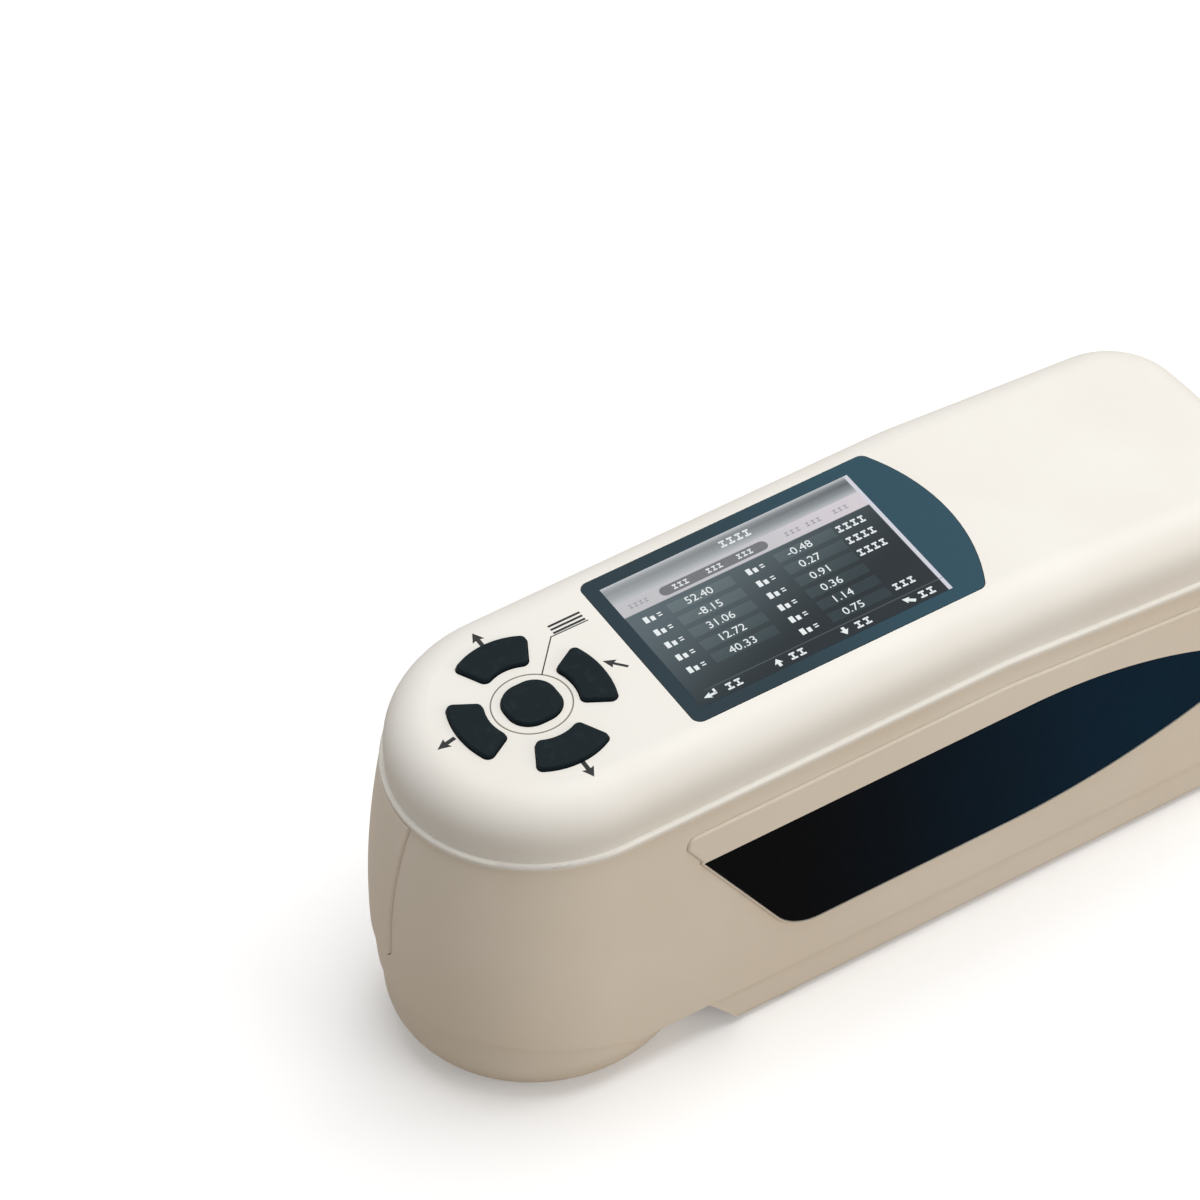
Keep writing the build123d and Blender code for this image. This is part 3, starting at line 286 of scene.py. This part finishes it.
def screen_glow():
    """The lit screen's ground: bands across its top, glare at one corner and a pale tail edge."""
    finish = Finish(
        "screen_ground", Specular_IOR_Level=0.2, Coat_Roughness=0.04, Emission_Strength=0.05
    )
    run, rise, glare = screen_place(finish)
    ground = finish.blend(glare, srgb(16, 29, 35), srgb(84, 98, 104))
    title_stops = [
        (0.0, srgb(176, 180, 184)),
        (0.30, srgb(122, 128, 132)),
        (0.62, srgb(66, 73, 78)),
        (0.80, srgb(96, 102, 106)),
        (1.0, srgb(188, 190, 192)),
    ]
    title = finish.node(
        "ShaderNodeValToRGB",
        {"stops": title_stops},
        {"Fac": (rise - TITLE_FOOT) / (SCREEN_HIGH - TITLE_FOOT)},
        "Color",
    )
    sheen = (rise * 2.0 - run * 0.5).ramp(30.0, 84.0)
    title = finish.blend(sheen * 0.45, title, srgb(196, 200, 204))
    in_title = rise.ramp(*TITLE_LOW)
    ground = finish.blend(in_title, ground, title)
    lilac = finish.blend(run.ramp(20.0, 56.0), srgb(190, 190, 194), srgb(206, 200, 206))
    in_band = rise.ramp(*BAND_LOW) * (1.0 - in_title)
    colour = finish.blend(in_band, ground, lilac)
    colour = finish.blend(run.ramp(*TAIL_EDGE), colour, srgb(205, 206, 216))
    rule_low, rule_high = RULE_RISE
    rule = rise.ramp(*rule_low) * (1.0 - rise.ramp(*rule_high)) * run.ramp(1.0, 6.0)
    colour = finish.blend(rule * 0.5, colour, srgb(96, 108, 112))
    pixels = finish.cells(5200.0)
    finish.set(
        Base_Color=colour * (0.96 + pixels * 0.08),
        Roughness=0.22 + finish.noise(80.0, detail=4.0) * 0.1,
        Coat_Weight=0.1,
        Emission_Color=colour,
    )
    return finish.material


def screen_ink(name, pale, deep, glow):
    """A printed or lit mark of the screen, a little uneven as pixels are."""
    finish = Finish(name, Specular_IOR_Level=0.4, Emission_Strength=glow)
    colour = finish.blend(finish.noise(900.0), pale, deep)
    finish.set(
        Base_Color=colour,
        Emission_Color=colour,
        Roughness=0.28 + finish.noise(500.0) * 0.1,
    )
    return finish.material


def value_field():
    """The fields behind the numbers: a strip lighter than the ground, under the same glare."""
    finish = Finish("value_field", Specular_IOR_Level=0.2)
    glare = screen_place(finish)[-1]
    colour = finish.blend(glare, srgb(34, 49, 55), srgb(104, 118, 122))
    colour = finish.blend(finish.noise(700.0) * 0.16, colour, srgb(70, 84, 88))
    finish.set(Base_Color=colour, Roughness=0.26 + finish.noise(300.0) * 0.1)
    return finish.material


def printed_ink():
    """Screen-printed marks on the case: dark grey with a dry grain."""
    finish = Finish("printed_ink", Specular_IOR_Level=0.3)
    grain = finish.noise(3200.0, detail=3.0)
    finish.set(
        Base_Color=finish.blend(grain, srgb(24, 25, 27), srgb(40, 42, 43)),
        Roughness=0.55 + grain * 0.15,
    )
    finish.bump(grain, depth=5e-6, strength=0.4)
    return finish.material


def ring_ink():
    """The thin ring printed round the middle key, paler than the arrows."""
    finish = Finish("ring_ink", Specular_IOR_Level=0.3)
    grain = finish.noise(3200.0, detail=3.0)
    finish.set(
        Base_Color=finish.blend(grain, srgb(118, 112, 102), srgb(146, 138, 126)),
        Roughness=0.55 + grain * 0.1,
    )
    return finish.material


def circuit_board(name, scale):
    """Solder mask with traces under it and bare pads."""
    finish = Finish(name, Specular_IOR_Level=0.5)
    trace = finish.cells(scale, "DISTANCE_TO_EDGE").ramp(0.06, 0.03)
    pads = finish.cells(scale * 1.7).ramp(0.16, 0.12)
    mask = finish.blend(finish.noise(120.0), srgb(14, 70, 38), srgb(20, 86, 46))
    colour = finish.blend(trace * 0.7, mask, srgb(46, 122, 66))
    colour = finish.blend(pads, colour, srgb(196, 178, 112))
    finish.set(Base_Color=colour, Roughness=0.42 - pads * 0.15, Metallic=pads * 0.8)
    finish.bump(trace + pads * 0.5, depth=2e-5, strength=0.6)
    return finish.material


def sphere_paint():
    """White diffusing paint with a powdery grain."""
    finish = Finish("sphere_paint", Specular_IOR_Level=0.1)
    powder = finish.noise(2600.0, detail=3.0, rough=0.6)
    finish.set(
        Base_Color=finish.blend(powder, srgb(236, 236, 233), srgb(246, 246, 244)),
        Roughness=0.9 + powder * 0.08,
    )
    finish.bump(powder, depth=1e-5, strength=0.5)
    return finish.material


def black_plastic():
    """Black moulded parts: the optics' barrel and the slide knob."""
    finish = Finish("black_plastic", Specular_IOR_Level=0.4)
    grain = finish.noise(3000.0, detail=3.0)
    finish.set(
        Base_Color=finish.blend(grain, srgb(22, 23, 24), srgb(34, 35, 37)),
        Roughness=0.5 + grain * 0.12,
    )
    finish.bump(grain, depth=8e-6, strength=0.5)
    return finish.material


def lens_glass():
    """Polished lens with a faint coating tint that varies over it."""
    finish = Finish("lens_glass", roughness=0.03, IOR=1.52, Transmission_Weight=0.9)
    tint = finish.noise(120.0, detail=1.0)
    finish.set(Base_Color=finish.blend(tint, srgb(226, 238, 244), srgb(240, 236, 248)))
    return finish.material


def plain_steel(name, pale, deep, roughness):
    """Steel with a fine brushed grain and small dull spots."""
    finish = Finish(name)
    drawn = finish.place * (400.0, 3200.0, 400.0)
    brush = finish.noise(1.0, detail=3.0, rough=0.6, place=drawn)
    spots = finish.noise(300.0, detail=3.0).ramp(0.5, 0.75)
    finish.set(
        Base_Color=finish.blend(brush, pale, deep),
        Metallic=1.0 - spots * 0.1,
        Roughness=roughness + brush * 0.12 + spots * 0.1,
    )
    finish.bump(brush, depth=4e-6, strength=0.4)
    return finish.material


def battery_wrap():
    """Shrink sleeve with fine wrinkles."""
    finish = Finish("battery_wrap", Specular_IOR_Level=0.5)
    wrinkle = finish.node(
        "ShaderNodeTexWave",
        {"bands_direction": "Y"},
        {"Vector": finish.place, "Scale": 90.0, "Distortion": 6.0, "Detail": 2.0},
        "Fac",
    )
    finish.set(
        Base_Color=finish.blend(finish.noise(80.0), srgb(38, 74, 128), srgb(50, 92, 150)),
        Roughness=0.3 + wrinkle * 0.1,
    )
    finish.bump(wrinkle, depth=2e-5, strength=0.3)
    return finish.material


def silicone_mat():
    """Grey silicone with a dull powdered skin."""
    finish = Finish("silicone_mat", Specular_IOR_Level=0.35)
    powder = finish.noise(900.0, detail=3.0)
    finish.set(
        Base_Color=finish.blend(powder, srgb(176, 178, 178), srgb(196, 198, 198)),
        Roughness=0.6 + powder * 0.15,
    )
    return finish.material


def display_frame():
    """Metal frame of the display module, and the glass that stands above it."""
    finish = Finish("display_frame", Specular_IOR_Level=0.5)
    glass = finish.axis("Z").ramp(DISPLAY_RIM_Z, DISPLAY_GLASS_Z)
    scuff = finish.noise(400.0, detail=3.0)
    finish.set(
        Base_Color=finish.blend(glass, srgb(150, 152, 154), srgb(52, 60, 64)),
        Metallic=1.0 - glass,
        Roughness=0.35 + scuff * 0.2,
    )
    finish.bump(scuff, depth=5e-6, strength=0.3)
    return finish.material


CASE = satin_plastic("case_plastic", srgb(243, 240, 233), srgb(240, 236, 228))
# The housing, nose ring, base, door, grip frames and trigger use the top cover's plastic, made
# warmer and a little darker: painted side shade and painted warm bounce light
SHADED_SIDE_CASE = satin_plastic("case_plastic_painted_side_shade", srgb(240, 231, 217), srgb(236, 226, 210))
GRIP = grip_rubber()
KEY = key_rubber()
WINDOW = window_panel()
SCREEN = screen_glow()
SCREEN_WHITE = screen_ink("screen_white", srgb(226, 230, 232), srgb(200, 206, 208), 0.2)
SCREEN_GREY = screen_ink("screen_grey", srgb(112, 114, 118), srgb(96, 98, 104), 0.05)
SCREEN_FAINT = screen_ink("screen_faint", srgb(160, 158, 164), srgb(172, 170, 176), 0.05)
FIELD = value_field()
INK = printed_ink()
RING_INK = ring_ink()
BOARD = circuit_board("circuit_board", 420.0)
SMALL_BOARD = circuit_board("small_circuit_board", 620.0)
SPHERE_PAINT = sphere_paint()
BLACK_PLASTIC = black_plastic()
LENS = lens_glass()
STEEL = plain_steel("screw_steel", srgb(186, 188, 190), srgb(206, 208, 210), 0.3)
PLATED_STEEL = plain_steel("plated_steel", srgb(204, 202, 196), srgb(222, 220, 214), 0.22)
BATTERY = battery_wrap()
MAT = silicone_mat()
DISPLAY = display_frame()

NODE_FINISHES = {
    "top_cover": CASE,
    "housing": SHADED_SIDE_CASE,
    "nose_ring": SHADED_SIDE_CASE,
    "base_block": SHADED_SIDE_CASE,
    "battery_door": SHADED_SIDE_CASE,
    "grip_frame_left": SHADED_SIDE_CASE,
    "grip_frame_right": SHADED_SIDE_CASE,
    "trigger": SHADED_SIDE_CASE,
    "grip_pad_left": GRIP,
    "grip_pad_right": GRIP,
    "feet": GRIP,
    "keypad_mat": MAT,
    "key_centre": KEY,
    "key_front": KEY,
    "key_rear": KEY,
    "key_left": KEY,
    "key_right": KEY,
    "display_window": WINDOW,
    "display_module": DISPLAY,
    "main_board": BOARD,
    "tail_board": SMALL_BOARD,
    "trigger_board": SMALL_BOARD,
    "sensor_board": SMALL_BOARD,
    "lamp_board": SMALL_BOARD,
    "sphere_lower": SPHERE_PAINT,
    "sphere_upper": SPHERE_PAINT,
    "lens_barrel": BLACK_PLASTIC,
    "power_slider": BLACK_PLASTIC,
    "lens": LENS,
    "port_plate": PLATED_STEEL,
    "door_pin": STEEL,
    "battery_contacts": PLATED_STEEL,
    "usb_socket": PLATED_STEEL,
    "case_screws": STEEL,
    "base_screws": STEEL,
    "ring_screws": STEEL,
    "board_screws": STEEL,
    "tail_screws": STEEL,
    "optics_screws": STEEL,
    "battery_pack": BATTERY,
}

for node_name, material in NODE_FINISHES.items():
    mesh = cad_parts[node_name].data
    mesh.materials.clear()
    mesh.materials.append(material)


# Marks: thin plates with straight sides, whose outlines are given in millimetres

def on_top(across, along, height):
    """A point of the keypad's deck, in millimetres from the middle of the keypad."""
    return KEYPAD + Vector((across, along, height)) * MM


def on_screen(run, rise, height):
    """A point of the screen: run towards the tail and rise towards its title bar."""
    return SCREEN_CORNER + Vector((-rise, run, height)) * MM


def settle(name, mesh, material):
    """A finished fixed piece of the body, from its mesh."""
    mesh.materials.clear()
    mesh.materials.append(material)
    piece = bpy.data.objects.new(name, mesh)
    bpy.context.scene.collection.objects.link(piece)
    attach(piece, "body")
    return piece


def plates(name, outlines, place, low, high, material):
    """One piece made of plates, each an outline of points lifted from low to high."""
    mesh = bpy.data.meshes.new(name)
    form = bmesh.new()
    for outline in outlines:
        face = form.faces.new([form.verts.new(place(u, v, low)) for u, v in outline])
        lid = bmesh.ops.extrude_face_region(form, geom=[face])["geom"]
        lift = place(0, 0, high) - place(0, 0, low)
        moved = [item for item in lid if isinstance(item, bmesh.types.BMVert)]
        bmesh.ops.translate(form, verts=moved, vec=lift)
    bmesh.ops.recalc_face_normals(form, faces=form.faces)
    form.to_mesh(mesh)
    form.free()
    return settle(name, mesh, material)


def stroke(points, width):
    """Outlines of the straight strokes of a line through points."""
    outlines = []
    for (x0, y0), (x1, y1) in zip(points, points[1:]):
        run, rise = x1 - x0, y1 - y0
        reach = math.hypot(run, rise)
        side_x, side_y = -rise / reach * width / 2, run / reach * width / 2
        lap_x, lap_y = run / reach * width / 2, rise / reach * width / 2
        outlines.append(
            [
                (x0 - lap_x + side_x, y0 - lap_y + side_y),
                (x0 - lap_x - side_x, y0 - lap_y - side_y),
                (x1 + lap_x - side_x, y1 + lap_y - side_y),
                (x1 + lap_x + side_x, y1 + lap_y + side_y),
            ]
        )
    return outlines


# How far behind its tip an arrow's barbs stand, in lengths of its head
BARB = 1.12


def arrow(start, tip, width, head_length, head_width):
    """Outline of an arrow from start to tip."""
    run, rise = tip[0] - start[0], tip[1] - start[1]
    reach = math.hypot(run, rise)
    along = (run / reach, rise / reach)
    aside = (-along[1], along[0])
    shape = [
        (0, width / 2),
        (reach - head_length, width / 2),
        (reach - head_length * BARB, head_width / 2),
        (reach, 0),
        (reach - head_length * BARB, -head_width / 2),
        (reach - head_length, -width / 2),
        (0, -width / 2),
    ]
    return [
        (start[0] + a * along[0] + b * aside[0], start[1] + a * along[1] + b * aside[1])
        for a, b in shape
    ]


def bar(run, rise, long, high):
    """Outline of a level bar by its middle and its size."""
    return [
        (run - long / 2, rise - high / 2),
        (run + long / 2, rise - high / 2),
        (run + long / 2, rise + high / 2),
        (run - long / 2, rise + high / 2),
    ]


def ring(radius, width, sides):
    """Outlines of the short plates that make a ring round the keypad's middle."""
    near, far = radius - width / 2, radius + width / 2
    outlines = []
    for side in range(sides):
        start, end = (2 * math.pi * (side + step) / sides for step in (0, 1))
        corners = ((near, start), (far, start), (far, end), (near, end))
        outlines.append([(arm * math.cos(turn), arm * math.sin(turn)) for arm, turn in corners])
    return outlines


def pill(run, rise, long, high, steps):
    """Outline of a bar with round ends."""
    radius = high / 2
    points = []
    for side in (1, -1):
        for step in range(steps + 1):
            turn = math.pi * (step / steps - 0.5)
            across = side * (long / 2 - radius + radius * math.cos(turn))
            points.append((run + across, rise + side * radius * math.sin(turn)))
    return points


# Print on the case, in millimetres. An arrow's size is its width, head's length and head's width
PRINT_HIGH = 0.035
KEY_ARROW = (0.95, 2.3, 2.7)
SLIM_KEY_ARROW = (0.62, 2.3, 2.3)
LEADER_PATH = [(-5.95, 5.75), (-14.1, 12.6), (-14.0, 21.1)]
LEADER_WIDTH = 0.26
RING_RADIUS = 8.27
RING_WIDTH = 0.3
RING_SIDES = 72
MENU_BARS = (-16.9, -15.8, -14.7)
MENU_ALONG = 17.2
MENU_BAR = (0.55, 7.4)

key_arrows = [
    arrow((-19.9, 0.0), (-24.0, 0.0), *KEY_ARROW),
    arrow((-0.6, -17.3), (0.3, -21.7), *KEY_ARROW),
    arrow((19.5, 0.3), (24.1, 0.2), *KEY_ARROW),
    arrow((1.9, 21.2), (-2.3, 17.7), *SLIM_KEY_ARROW),
]
plates("key_arrows", key_arrows, on_top, 0.0, PRINT_HIGH, INK)

leader = stroke(LEADER_PATH, LEADER_WIDTH)
plates("leader_line", leader, on_top, 0.0, PRINT_HIGH, INK)

ring_line = ring(RING_RADIUS, RING_WIDTH, RING_SIDES)
plates("ring_line", ring_line, on_top, 0.0, PRINT_HIGH, RING_INK)

menu_icon = [bar(across, MENU_ALONG, *MENU_BAR) for across in MENU_BARS]
plates("menu_icon", menu_icon, on_top, 0.0, PRINT_HIGH, INK)


# Screen: ground, fields, numbers and icons, in layers on the window

GROUND_HIGH = 0.03
FIELD_HIGH = 0.05
MARK_HIGH = 0.07

screen_ground = [bar(SCREEN_LONG / 2, SCREEN_HIGH / 2, SCREEN_LONG, SCREEN_HIGH)]
plates("screen_ground", screen_ground, on_screen, 0.0, GROUND_HIGH, SCREEN)


def field_rows():
    """Node tree for a column of equal fields, with its count, pitch and field size as inputs."""
    tree = bpy.data.node_groups.new("field_rows", "GeometryNodeTree")
    add_socket = tree.interface.new_socket
    for label, kind in (
        ("Rows", "NodeSocketInt"),
        ("Pitch", "NodeSocketFloat"),
        ("Length", "NodeSocketFloat"),
        ("Height", "NodeSocketFloat"),
        ("Thickness", "NodeSocketFloat"),
        ("Start", "NodeSocketVector"),
        ("Finish", "NodeSocketMaterial"),
    ):
        add_socket(label, in_out="INPUT", socket_type=kind)
    add_socket("Geometry", in_out="OUTPUT", socket_type="NodeSocketGeometry")
    given = tree.nodes.new("NodeGroupInput").outputs
    result = tree.nodes.new("NodeGroupOutput").inputs

    def step(kind, links, output=0, **settings):
        """A node's output, once its settings are made and its inputs are linked."""
        node = tree.nodes.new(kind)
        for name, value in settings.items():
            setattr(node, name, value)
        for key, source in links.items():
            tree.links.new(source, node.inputs[key])
        return node.outputs[output]

    pitch = step("ShaderNodeCombineXYZ", {"X": given["Pitch"]})
    line = step(
        "GeometryNodeMeshLine",
        {"Count": given["Rows"], "Start Location": given["Start"], "Offset": pitch},
        mode="OFFSET",
    )
    size = step(
        "ShaderNodeCombineXYZ",
        {"X": given["Height"], "Y": given["Length"], "Z": given["Thickness"]},
    )
    field = step("GeometryNodeMeshCube", {"Size": size}, "Mesh")
    rows = step("GeometryNodeInstanceOnPoints", {"Points": line, "Instance": field})
    solid = step("GeometryNodeRealizeInstances", {"Geometry": rows})
    painted = step("GeometryNodeSetMaterial", {"Geometry": solid, "Material": given["Finish"]})
    tree.links.new(painted, result["Geometry"])
    return tree


def evaluated_mesh(source):
    """A plain mesh of a linked object, with its modifiers or its letters worked out."""
    bpy.context.view_layer.update()
    graph = bpy.context.evaluated_depsgraph_get()
    return bpy.data.meshes.new_from_object(source.evaluated_get(graph))


def grown(name, tree, values):
    """A piece of the body that a node tree makes, as a plain mesh."""
    seed = bpy.data.objects.new(name + "_seed", bpy.data.meshes.new(name + "_seed"))
    bpy.context.scene.collection.objects.link(seed)
    modifier = seed.modifiers.new("grow", "NODES")
    modifier.node_group = tree
    for item in tree.interface.items_tree:
        if item.in_out == "INPUT" and item.name in values:
            modifier[item.identifier] = values[item.name]
    mesh = evaluated_mesh(seed)
    seed.modifiers.clear()
    bpy.data.objects.remove(seed)
    return settle(name, mesh, values["Finish"])


# The two columns of the screen, in millimetres: each row's rise, the fields' middle and length,
# the run of the numbers and of the labels
FIELD_TALL = 2.9
NUMBER_SIZE = 2.9
LABEL_TALL = 1.8
LEFT_ROWS = [27.2 - 4.25 * row for row in range(5)]
LEFT_FIELD = (16.3, 15.0)
LEFT_NUMBERS = 15.8
LEFT_LABELS = 4.4
LEFT_VALUES = ("52.40", "-8.15", "31.06", "12.72", "40.33")
RIGHT_ROWS = [27.2 - 4.13 * row for row in range(6)]
RIGHT_FIELD = (41.0, 14.0)
RIGHT_NUMBERS = 39.6
RIGHT_LABELS = 28.6
RIGHT_VALUES = ("-0.48", "0.27", "0.91", "0.36", "1.14", "0.75")

field_tree = field_rows()
for name, rows, (middle, long) in (
    ("left_fields", LEFT_ROWS, LEFT_FIELD),
    ("right_fields", RIGHT_ROWS, RIGHT_FIELD),
):
    field_values = {
        "Rows": len(rows),
        "Pitch": (rows[0] - rows[1]) * MM,
        "Length": long * MM,
        "Height": FIELD_TALL * MM,
        "Thickness": (FIELD_HIGH - GROUND_HIGH) * MM,
        "Start": on_screen(middle, rows[0], (GROUND_HIGH + FIELD_HIGH) / 2),
        "Finish": FIELD,
    }
    grown(name, field_tree, field_values)


def lettering(name, entries, size, material):
    """Plain numbers laid on the screen, one piece, centred on their places."""
    collected = bmesh.new()
    for words, run, rise in entries:
        curve = bpy.data.curves.new("number", "FONT")
        curve.body = words
        curve.size = size * MM
        curve.align_x = "CENTER"
        curve.align_y = "CENTER"
        curve.extrude = (MARK_HIGH - GROUND_HIGH) / 2 * MM
        curve.resolution_u = 3
        holder = bpy.data.objects.new("number", curve)
        bpy.context.scene.collection.objects.link(holder)
        mesh = evaluated_mesh(holder)
        turn = Matrix(((0, -1, 0), (1, 0, 0), (0, 0, 1))).to_4x4()
        turn.translation = on_screen(run, rise, (MARK_HIGH + GROUND_HIGH) / 2)
        mesh.transform(turn)
        collected.from_mesh(mesh)
        bpy.data.objects.remove(holder)
        bpy.data.meshes.remove(mesh)
    bmesh.ops.remove_doubles(collected, verts=collected.verts, dist=1e-7)
    bmesh.ops.recalc_face_normals(collected, faces=collected.faces)
    mesh = bpy.data.meshes.new(name)
    collected.to_mesh(mesh)
    collected.free()
    return settle(name, mesh, material)


numbers = [(value, LEFT_NUMBERS, rise) for value, rise in zip(LEFT_VALUES, LEFT_ROWS)]
numbers += [(value, RIGHT_NUMBERS, rise) for value, rise in zip(RIGHT_VALUES, RIGHT_ROWS)]
lettering("screen_numbers", numbers, NUMBER_SIZE, SCREEN_WHITE)


def label_marks(run, rise, tall):
    """A plain stand-in for a short label: a block, a thin block and two dots."""
    return [
        bar(run - 1.0, rise, 1.0, tall),
        bar(run + 0.4, rise - 0.25, 0.9, tall - 0.5),
        bar(run + 2.1, rise + 0.35, 0.9, 0.3),
        bar(run + 2.1, rise - 0.35, 0.9, 0.3),
    ]


def word_blocks(run, rise, count, pitch, tall):
    """A row of small blocks that stands for a word: two level bars and a stem for each letter."""
    outlines = []
    for place in range(count):
        middle = run + (place - (count - 1) / 2) * pitch
        outlines.append(bar(middle, rise + tall * 0.34, pitch * 0.66, tall * 0.22))
        outlines.append(bar(middle, rise - tall * 0.34, pitch * 0.72, tall * 0.22))
        outlines.append(bar(middle, rise, pitch * 0.2, tall * 0.6))
    return outlines


small_marks = []
for rise in LEFT_ROWS:
    small_marks += label_marks(LEFT_LABELS, rise, LABEL_TALL)
for rise in RIGHT_ROWS:
    small_marks += label_marks(RIGHT_LABELS, rise, LABEL_TALL)

# Words at the tail edge, in the title bar and along the foot: run, rise, letters, pitch, height
SMALL_WORDS = [
    (51.9, 27.3, 4, 1.75, 2.1),
    (51.9, 23.3, 4, 1.75, 2.1),
    (51.9, 19.1, 4, 1.75, 2.1),
    (51.6, 6.7, 3, 1.75, 2.0),
    (30.3, 37.2, 4, 1.9, 2.1),
    (8.6, 1.9, 2, 2.0, 2.1),
    (23.4, 1.9, 2, 2.0, 2.1),
    (38.9, 1.9, 2, 2.0, 2.1),
    (54.0, 1.9, 2, 2.0, 2.1),
]
for word in SMALL_WORDS:
    small_marks += word_blocks(*word)

FOOT_ARROW = (0.7, 1.3, 1.9)
small_marks += [
    arrow((4.6, 1.9), (1.6, 1.9), 0.6, 1.5, 1.7),
    bar(4.4, 2.5, 0.5, 1.3),
    arrow((19.0, 0.8), (19.0, 3.1), *FOOT_ARROW),
    arrow((34.6, 3.1), (34.6, 0.8), *FOOT_ARROW),
    arrow((51.0, 1.2), (48.7, 2.9), 0.8, 1.3, 1.8),
]
plates("screen_marks", small_marks, on_screen, GROUND_HIGH, MARK_HIGH, SCREEN_WHITE)

# The tab strip under the title bar, at one rise
PILL_RISE = 32.2
screen_pill = [pill(22.3, PILL_RISE, long=25.4, high=2.7, steps=8)]
plates("screen_pill", screen_pill, on_screen, GROUND_HIGH, FIELD_HIGH, SCREEN_GREY)

pill_marks = []
for run in (14.4, 22.4, 29.6):
    pill_marks += word_blocks(run, PILL_RISE, 3, 1.3, 1.5)
plates("pill_marks", pill_marks, on_screen, GROUND_HIGH, MARK_HIGH, SCREEN_WHITE)

faint_marks = word_blocks(4.6, 32.3, 4, 1.2, 1.3)
for run in (41.0, 46.0, 52.5):
    faint_marks += word_blocks(run, PILL_RISE, 3, 1.3, 1.3)
plates("faint_marks", faint_marks, on_screen, GROUND_HIGH, FIELD_HIGH, SCREEN_FAINT)


# Studio: floor, soft light from above and the photograph's camera

FLOOR_HALF = 3.0
FLOOR_DROP = 0.2 * MM
FLOOR_BOUNCE = (0.56, 0.49, 0.42, 1.0)
FLOOR_GLOW = 0.2


def floor_white():
    """A warm floor that the camera sees as white, with the object's shadow kept on it."""
    finish = Finish("floor_white", roughness=0.9, Specular_IOR_Level=0.1)
    seen = finish.node("ShaderNodeLightPath", output="Is Camera Ray")
    finish.set(
        Base_Color=finish.blend(seen, FLOOR_BOUNCE, WHITE),
        Emission_Color=WHITE,
        Emission_Strength=seen * FLOOR_GLOW,
    )
    return finish.material


floor_corners = [
    (across * FLOOR_HALF, along * FLOOR_HALF, 0)
    for across, along in ((-1, -1), (1, -1), (1, 1), (-1, 1))
]
floor_mesh = bpy.data.meshes.new("floor")
floor_mesh.from_pydata(floor_corners, [], [(0, 1, 2, 3)])
floor_mesh.materials.append(floor_white())
floor = bpy.data.objects.new("floor", floor_mesh)
floor.location.z = frame_box[0][2] - FLOOR_DROP
bpy.context.scene.collection.objects.link(floor)

LIGHT_AIM = Vector((0.0, 0.0, 0.03))


def soft_light(name, place, size, power, colour):
    """A square area light at a place, turned to the object."""
    lamp = bpy.data.lights.new(name, "AREA")
    lamp.shape = "SQUARE"
    lamp.size = size
    lamp.energy = power
    lamp.color = colour
    holder = bpy.data.objects.new(name, lamp)
    holder.location = place
    holder.rotation_euler = (LIGHT_AIM - Vector(place)).to_track_quat("-Z", "Y").to_euler()
    bpy.context.scene.collection.objects.link(holder)
    return holder


soft_light("overhead", (-0.05, 0.3, 1.3), 1.1, 12.6, (1.0, 1.0, 1.0))
soft_light("fill", (1.2, 0.7, 0.5), 0.7, 5.0, (1.0, 0.95, 0.88))

# The world lights the object softly, and is full white to the camera, in gloss and through glass
WORLD_LIGHT = 0.3
WORLD_SEEN = 1.0

world = bpy.data.worlds.new("studio")
world.use_nodes = True
bpy.context.scene.world = world
sky = world.node_tree
background = sky.nodes["Background"]
background.inputs["Color"].default_value = WHITE
rays = sky.nodes.new("ShaderNodeLightPath").outputs
seen = rays["Is Camera Ray"]
for kind in ("Is Glossy Ray", "Is Transmission Ray"):
    either = sky.nodes.new("ShaderNodeMath")
    either.operation = "MAXIMUM"
    sky.links.new(seen, either.inputs[0])
    sky.links.new(rays[kind], either.inputs[1])
    seen = either.outputs[0]
strength = sky.nodes.new("ShaderNodeMapRange")
strength.inputs["To Min"].default_value = WORLD_LIGHT
strength.inputs["To Max"].default_value = WORLD_SEEN
sky.links.new(seen, strength.inputs["Value"])
sky.links.new(strength.outputs["Result"], background.inputs["Strength"])

# The camera was fitted to the keypad, the window and the bead of the photograph. Its focus is in
# the photograph's pixels, its distance in metres, and it holds the keypad's middle at one pixel
CAMERA_AZIMUTH = math.radians(63.545)
CAMERA_ELEVATION = math.radians(44.505)
CAMERA_ROLL = math.radians(-5.806)
CAMERA_FOCUS = 6000.0
CAMERA_DISTANCE = 1.19006
KEYPAD_PIXEL = (531.892, 704.001)
FRAME_PIXELS = 1200
SENSOR_WIDTH = 36.0

back = Vector(
    (
        math.sin(CAMERA_AZIMUTH) * math.cos(CAMERA_ELEVATION),
        -math.cos(CAMERA_AZIMUTH) * math.cos(CAMERA_ELEVATION),
        math.sin(CAMERA_ELEVATION),
    )
)
level = Vector((math.cos(CAMERA_AZIMUTH), math.sin(CAMERA_AZIMUTH), 0.0))
upward = back.cross(level)
right = math.cos(CAMERA_ROLL) * level + math.sin(CAMERA_ROLL) * upward
up = math.cos(CAMERA_ROLL) * upward - math.sin(CAMERA_ROLL) * level
pixel = CAMERA_DISTANCE / CAMERA_FOCUS
offset = (
    (KEYPAD_PIXEL[0] - FRAME_PIXELS / 2) * pixel * right
    - (KEYPAD_PIXEL[1] - FRAME_PIXELS / 2) * pixel * up
    - CAMERA_DISTANCE * back
)
camera_data = bpy.data.cameras.new("camera")
camera_data.sensor_fit = "HORIZONTAL"
camera_data.sensor_width = SENSOR_WIDTH
camera_data.lens = SENSOR_WIDTH * CAMERA_FOCUS / FRAME_PIXELS
camera_data.clip_start = 0.01
camera_data.clip_end = 20.0
camera = bpy.data.objects.new("camera", camera_data)
turned = Matrix((right, up, back)).transposed().to_4x4()
turned.translation = KEYPAD - offset
camera.matrix_world = turned
bpy.context.scene.collection.objects.link(camera)
bpy.context.scene.camera = camera
bpy.context.scene.view_settings.view_transform = "Standard"
